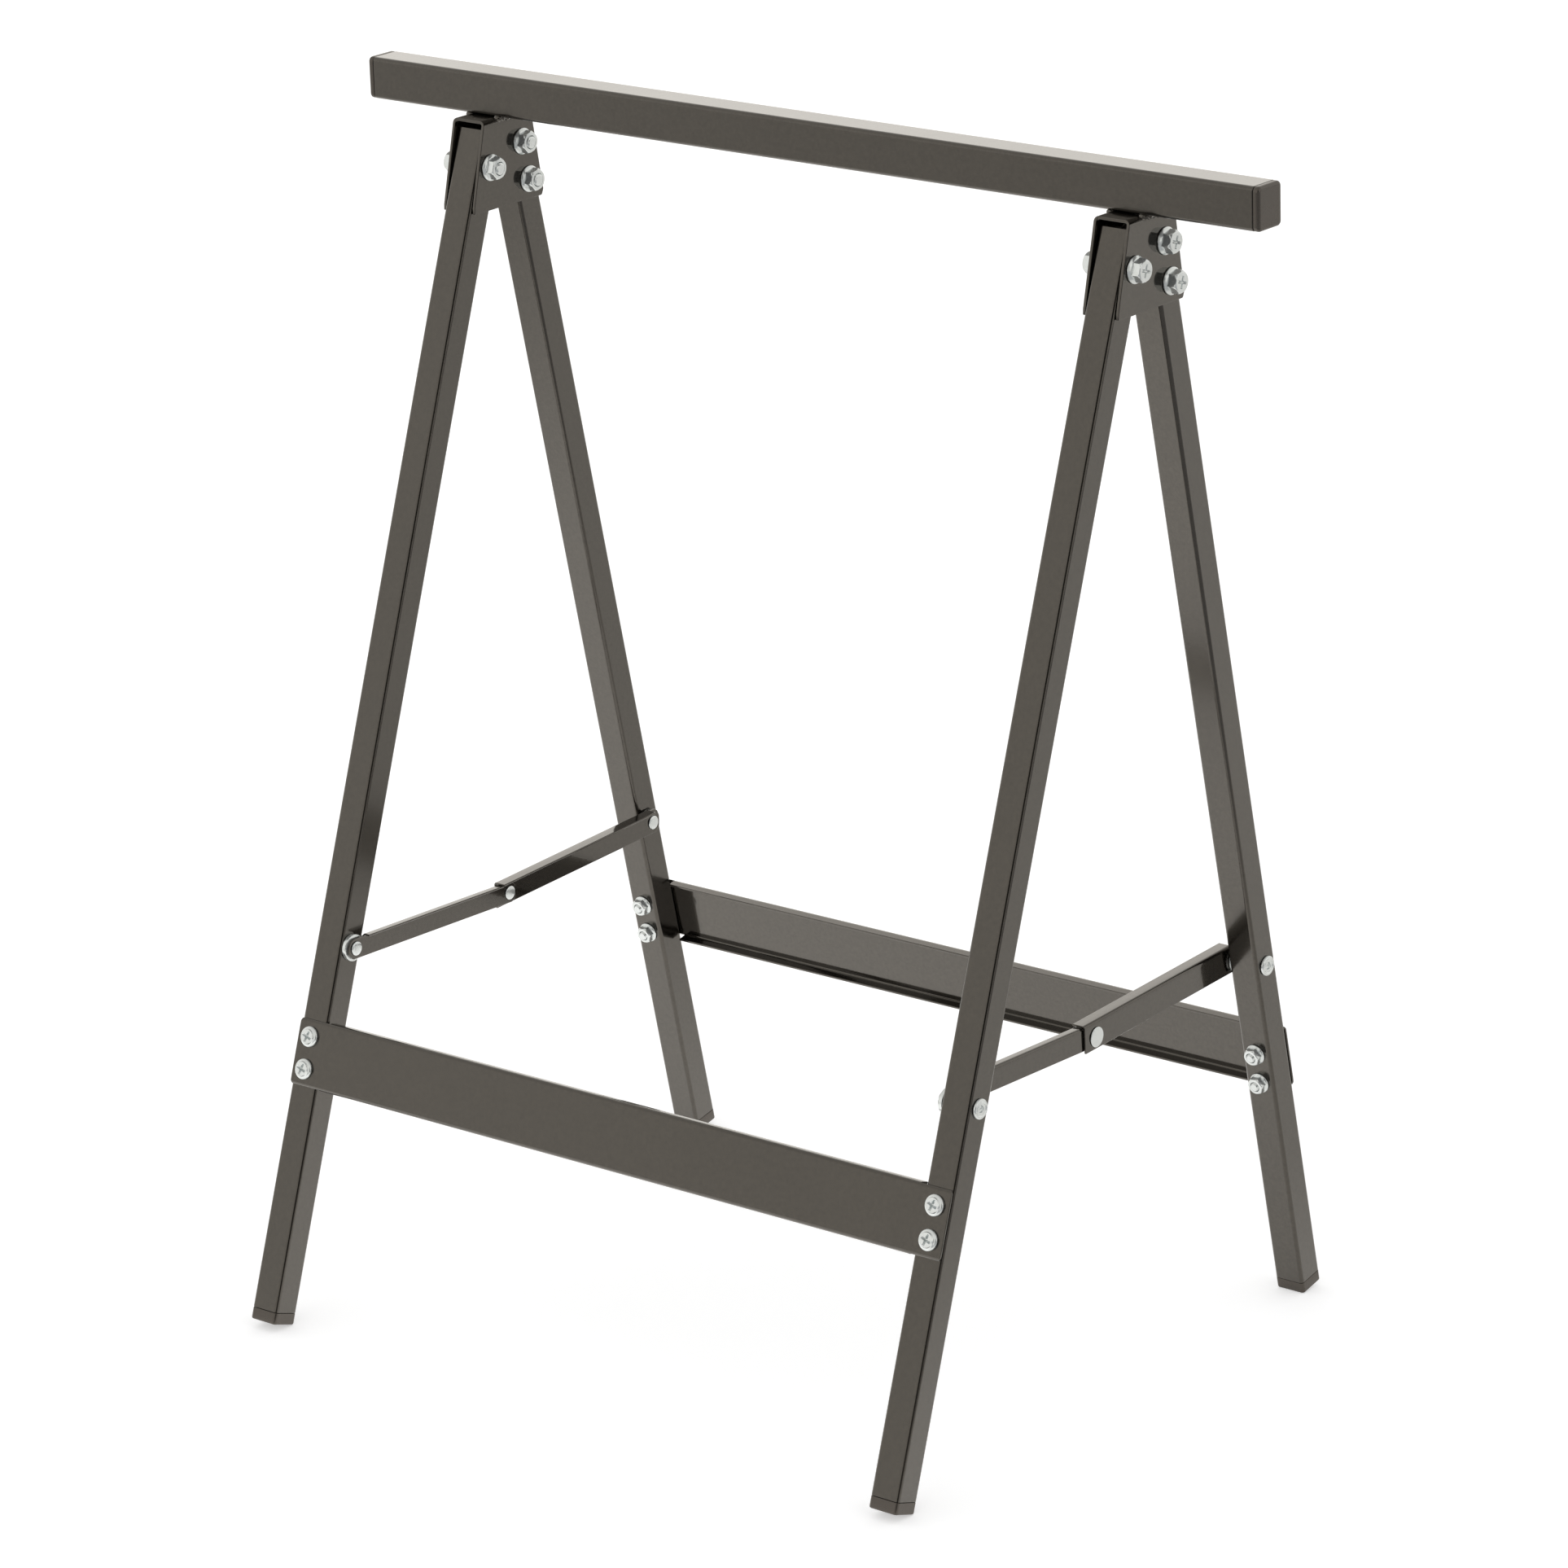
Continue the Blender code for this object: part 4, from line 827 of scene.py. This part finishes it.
for side_name, side in SIDES:
    for bolt, (legs, up) in HEAD_BOLTS.items():
        place = legs.place(np.array([[side * leg_middle, 0.0, up]]))[0]
        node = f"{bolt}_bolt_{side_name}"
        rings = turned(bolt_rows, (side, 0, 0), HEAD_RECESS) + place
        skin(f"{node}_body", rings, zinc, "rear_frame", [node])
        node = f"{bolt}_nut_{side_name}"
        rings = turned(nut_rows, (-side, 0, 0)) + place
        skin(f"{node}_body", rings, zinc, "rear_frame", [node], closed=True)

# Rails: pressed steel channels, 43 mm high, laid across the legs' outer faces with their
# shallow flanges turned inwards. The flanges stop just short of the legs, and the plain
# web with its rounded corners runs on over them. Coated like the brackets.

RAIL_HEIGHT = 0.0432
RAIL_SHEET = 0.0015
RAIL_FLANGE = 0.0075
RAIL_BEND = 0.0028
RAIL_END_ROUND = 0.0035
RAIL_NOTCH = 0.0030
RAIL_COLUMNS = 14
RAIL_UP = {"front": 0.1718, "rear": 0.1637}
leg_face = LEG_DEPTH / 2 + GAP
rail_back = leg_face + RAIL_SHEET / 2
rail_half = RAIL_HEIGHT / 2 - RAIL_SHEET / 2
rail_edge = leg_face + RAIL_SHEET - RAIL_FLANGE
rail_lower = [(rail_edge, -rail_half), (rail_back, -rail_half)]
rail_corners = rail_lower + [(out, -up) for out, up in rail_lower[::-1]]
rail_path = bent_path(rail_corners, RAIL_BEND - RAIL_SHEET / 2)
rail_length = path_distance(rail_path)
first_flange = slice(BEND_STEPS + 1)
past_notch = np.interp(leg_face, rail_path[first_flange, 0], rail_length[first_flange])
rail_marks = (past_notch, rail_length[-1] - past_notch)


def rail_ends(along, out, up):
    """Both ends of the rail: the flanges end at the notch, and the web runs on to the legs' far
    sides with its corners rounded."""
    on_web = np.abs(along - rail_length[-1] / 2) < rail_length[-1] / 2 - past_notch
    rounding = toe_inset(RAIL_HEIGHT / 2 - np.abs(up), RAIL_END_ROUND)
    web_reach = leg_middle + LEG_WIDTH / 2 - GAP - rounding
    reach = np.where(on_web, web_reach, leg_middle - LEG_WIDTH / 2 - RAIL_NOTCH)
    return -reach, reach


rail_rings = bent_sheet(rail_path, RAIL_SHEET, rail_ends, RAIL_COLUMNS, rail_marks)
for name, legs, body in LEG_FRAMES:
    rings = legs.place(rail_rings + [0.0, 0.0, RAIL_UP[name] - legs.drop])
    node = f"{name}_rail"
    skin(f"{node}_channel", rings, sheet_coat, body, [node], sheet=True)

# Rail bolts: two zinc-plated bolts at each rail end. Each has a cross recess in a slightly
# dished crown that steps down to a low collar. Small flange nuts hold them on the legs'
# inner faces, with the threads just through them.

PAN_RADIUS = 0.0066
PAN_HEIGHT = 0.0034
PAN_RECESS = (0.0022, 0.0036)
PAN_CROWN = np.linspace(0.02, 0.68, 12)
PAN_MIDDLE = 0.94
PAN_DISH = 0.05
PAN_COLLAR = (
    (0.70, 0.90), (0.72, 0.80), (0.74, 0.70), (0.77, 0.64), (0.84, 0.60), (0.90, 0.55),
    (0.95, 0.47), (0.985, 0.36), (1.0, 0.24), (1.0, 0.08), (0.98, 0.0),
)
RAIL_SHANK = 0.0028
RAIL_THREAD_PITCH = 0.0009
RAIL_NUT_FLANGE = 0.0066
RAIL_NUT_FLANGE_THICK = 0.0012
RAIL_NUT_HEX = 0.0050
RAIL_NUT_HEX_HEIGHT = 0.0044
RAIL_BORE_EASE = 0.0006
RAIL_BOLT_PITCH = 0.0206
pan_seat = leg_face + RAIL_SHEET + GAP
nut_end = leg_face + RAIL_NUT_FLANGE_THICK + RAIL_NUT_HEX_HEIGHT
pan_shape = [(share, PAN_MIDDLE + PAN_DISH * share ** 2) for share in PAN_CROWN]
pan_shape += PAN_COLLAR
pan_rows = [(pan_seat + PAN_HEIGHT * h, PAN_RADIUS * share, NO_FLATS) for share, h in pan_shape]
pan_rows += [(pan_seat, RAIL_SHANK, NO_FLATS), (SHANK_SHORT - nut_end, RAIL_SHANK, NO_FLATS)]
pan_rows += thread_rows(THREAD_START - nut_end, -nut_end - BOLT_TAIL, RAIL_SHANK, RAIL_THREAD_PITCH)
rail_hex_foot = leg_face + RAIL_NUT_FLANGE_THICK
rail_nut_rows = [
    (leg_face, RAIL_SHANK + GAP, NO_FLATS),
    (nut_end - BORE_CHAMFER, RAIL_SHANK + GAP, NO_FLATS),
    (nut_end, RAIL_SHANK + RAIL_BORE_EASE, NO_FLATS),
]
rail_nut_rows += [(nut_end + d, RAIL_NUT_HEX + r, RAIL_NUT_HEX) for d, r in hex_chamfer]
rail_nut_rows += [
    (rail_hex_foot + 0.0003, RAIL_NUT_HEX + 0.0009, RAIL_NUT_HEX),
    (rail_hex_foot + 0.0002, RAIL_NUT_HEX * 1.12, NO_FLATS),
    (rail_hex_foot - 0.0003, RAIL_NUT_FLANGE - 0.0004, NO_FLATS),
    (rail_hex_foot - 0.0006, RAIL_NUT_FLANGE - 0.0001, NO_FLATS),
    (leg_face + 0.0002, RAIL_NUT_FLANGE, NO_FLATS),
    (leg_face, RAIL_NUT_FLANGE - 0.0002, NO_FLATS),
]
for name, legs, body in LEG_FRAMES:
    for side_name, side in SIDES:
        for level, shift in (("upper", 0.5), ("lower", -0.5)):
            up = RAIL_UP[name] - legs.drop + shift * RAIL_BOLT_PITCH
            place = legs.place(np.array([[side * leg_middle, 0.0, up]]))[0]
            node = f"{name}_rail_bolt_{side_name}_{level}"
            rings = turned(pan_rows, legs.out, PAN_RECESS) + place
            skin(f"{node}_body", rings, zinc, body, [node])
            node = f"{name}_rail_nut_{side_name}_{level}"
            rings = turned(rail_nut_rows, -legs.out) + place
            skin(f"{node}_body", rings, zinc, body, [node], closed=True)

# Stays: on each side two bent steel angles, 1.2 mm thick, with their cheeks beside the
# legs and their webs on top. The front one nests under the rear one, which is cut square
# past the middle rivet. The other ends are rounded and have no web. Coated.

STAY_SHEET = 0.0012
STAY_BEND = 0.0020
STAY_END = 0.0068
STAY_END_ROUND = 0.0060
STAY_CUT_ROUND = 0.0008
STAY_COLUMNS = 10
WASHER_THICK = 0.0012
REAR_LINK = {
    "near": WASHER_THICK + 2 * GAP,
    "width": 0.0090,
    "above": 0.0103,
    "below": 0.0076,
    "start": 0.0050,
    "past": 0.0112,
}
FRONT_LINK = {
    "near": WASHER_THICK + STAY_SHEET + 3 * GAP,
    "width": 0.0056,
    "above": 0.0079,
    "below": 0.0069,
    "start": 0.0100,
    "past": -0.0075,
}
joint_place = {joint["name"]: np.array(joint["pos_m"]) for joint in frame["joints"]}
rear_pivot = joint_place["stay_rear_pivot_left"]
middle_pivot = joint_place["stay_middle_pivot_left"]
link_reach = rear_pivot[1:] - middle_pivot[1:]
link_length = np.hypot(*link_reach)
link_slope = np.arctan2(link_reach[1], link_reach[0])
leg_inside = leg_middle - LEG_WIDTH / 2


def link_directions(slope):
    """Directions along a link that climbs towards the front at this slope, and up from it."""
    sine, cosine = np.sin(slope), np.cos(slope)
    return np.array([0.0, -cosine, sine]), np.array([0.0, sine, cosine])


def link_rings(link, square):
    """Rings over one link, run along it from its first pivot, as (run, inward from the leg, up). Up
    to the bare height the cheek reaches past both pivots with rounded ends, and above it the web
    and the bend reach from start to past the second pivot."""
    bare = link["above"] - STAY_SHEET - GAP
    near = link["near"] + STAY_SHEET / 2
    top = link["above"] - STAY_SHEET / 2
    corners = [(near, -link["below"]), (near, top), (link["near"] + link["width"], top)]
    mark = link["below"] + bare

    def ends(along, inward, up):
        foot = up + link["below"]
        corner = toe_inset(foot, STAY_END_ROUND) + toe_inset(bare - up, STAY_END_ROUND)
        web_end = link_length + link["past"]
        first = np.where(along < mark, corner - STAY_END, link["start"])
        last = np.where(along < mark, link_length + STAY_END - corner, web_end)
        return first, np.where(square, web_end - toe_inset(foot, STAY_CUT_ROUND), last)

    path = bent_path(corners, STAY_BEND - STAY_SHEET / 2)
    return bent_sheet(path, STAY_SHEET, ends, STAY_COLUMNS, (mark,))


for side_name, side in SIDES:
    for name, link, square, pivot, slope in (
        ("rear", REAR_LINK, True, rear_pivot, -link_slope),
        ("front", FRONT_LINK, False, middle_pivot, link_slope),
    ):
        run, inward, up = np.moveaxis(link_rings(link, square), -1, 0)[..., None]
        along, rise = link_directions(slope)
        place = np.array([side * leg_inside, pivot[1], pivot[2]])
        rings = place + run * along + inward * [-side, 0.0, 0.0] + up * rise
        node, body = f"stay_{name}_link_{side_name}", f"stay_{name}_{side_name}"
        skin(f"{node}_angle", rings, sheet_coat, body, [node], sheet=True)

# Stay pivots: zinc rivets. On the legs' outer faces they have wide heads with a raised
# rim and a sunk middle, between the links a smooth domed head, and inside all three end
# in small flat domes. Plain zinc washers hold the links off the legs.

RIVET_SHANK = 0.0025
RIVET_TAIL = 0.0045
RIVET_TAIL_HEIGHT = 0.0012
RIVET_HEAD = 0.0063
RIVET_HEAD_HEIGHT = 0.0018
RIVET_HEAD_SHAPE = (
    (0.01, -0.10), (0.12, -0.10), (0.24, -0.05), (0.30, 0.10), (0.33, 0.40), (0.36, 0.70),
    (0.40, 0.82), (0.50, 0.85), (0.58, 0.84), (0.62, 0.76), (0.66, 0.74), (0.70, 0.80),
    (0.75, 0.94), (0.82, 1.0), (0.90, 0.94), (0.96, 0.76), (1.0, 0.45), (1.0, 0.10), (0.98, 0.0),
)
MIDDLE_HEAD_HEIGHT = 0.0009
DOME_RIM = 0.0004
DOME_EASE = 0.0001
DOME_TURNS = np.linspace(0.02, np.pi / 2, 12)
WASHER_RADIUS = 0.0085
WASHER_EASE = 0.00025


def dome_rows(seat, radius, height):
    """Rows of a domed head from the middle of its top to its seat: a quarter ellipse over a rim."""
    crown = seat + DOME_RIM + (height - DOME_RIM) * np.cos(DOME_TURNS)
    rows = [(place, r, NO_FLATS) for place, r in zip(crown, radius * np.sin(DOME_TURNS))]
    return rows + [(seat + DOME_EASE, radius, NO_FLATS), (seat, radius - DOME_EASE, NO_FLATS)]


def tail_rows(start, seat):
    """Rows of a rivet from the start of its shank inwards to the low dome of its inner end."""
    shank = [(start, RIVET_SHANK, NO_FLATS), (-seat, RIVET_SHANK, NO_FLATS)]
    dome = dome_rows(seat, RIVET_TAIL, RIVET_TAIL_HEIGHT)
    return shank + [(-distance, r, flats) for distance, r, flats in dome[::-1]]


def washer_rows(near, far):
    """Rows round a washer's section: bore, eased rim, back to the bore."""
    bore, face = RIVET_SHANK + GAP, WASHER_RADIUS - WASHER_EASE
    near_half = [(-near, bore), (-near, face), (-near - WASHER_EASE, WASHER_RADIUS)]
    far_half = [(WASHER_EASE - far, WASHER_RADIUS), (-far, face), (-far, bore)]
    return [(d, r, NO_FLATS) for d, r in near_half + far_half]


outer_seat = LEG_WIDTH + GAP
wide_head = [
    (outer_seat + RIVET_HEAD_HEIGHT * height, RIVET_HEAD * share, NO_FLATS)
    for share, height in RIVET_HEAD_SHAPE
]
smooth_seat = GAP - REAR_LINK["near"]
smooth_head = dome_rows(smooth_seat, RIVET_HEAD, MIDDLE_HEAD_HEIGHT)
rear_tail = REAR_LINK["near"] + STAY_SHEET + GAP
front_tail = FRONT_LINK["near"] + STAY_SHEET + GAP
washer_far = FRONT_LINK["near"] - GAP
screw_shank = [(outer_seat, RIVET_SHANK, NO_FLATS), (GAP - washer_far, RIVET_SHANK, NO_FLATS)]
PIVOT_PIECES = {
    "stay_rear_rivet": wide_head + tail_rows(outer_seat, rear_tail),
    "stay_rear_washer": washer_rows(GAP, GAP + WASHER_THICK),
    "stay_middle_rivet": smooth_head + tail_rows(smooth_seat, front_tail),
    "stay_front_screw": wide_head + screw_shank,
    "stay_front_washer": washer_rows(GAP, washer_far),
    "stay_front_rivet": tail_rows(-FRONT_LINK["near"], front_tail),
}
front_end = middle_pivot + link_length * link_directions(link_slope)[0]
for side_name, side in SIDES:
    for name, spot, body in (
        ("stay_rear_rivet", rear_pivot, "rear_frame"),
        ("stay_rear_washer", rear_pivot, "rear_frame"),
        ("stay_middle_rivet", middle_pivot, f"stay_rear_{side_name}"),
        ("stay_front_screw", front_end, "front_frame"),
        ("stay_front_washer", front_end, "front_frame"),
        ("stay_front_rivet", front_end, f"stay_front_{side_name}"),
    ):
        rings = turned(PIVOT_PIECES[name], (side, 0, 0)) + [side * leg_inside, spot[1], spot[2]]
        node = f"{name}_{side_name}"
        skin(f"{node}_body", rings, zinc, body, [node], closed="washer" in name)
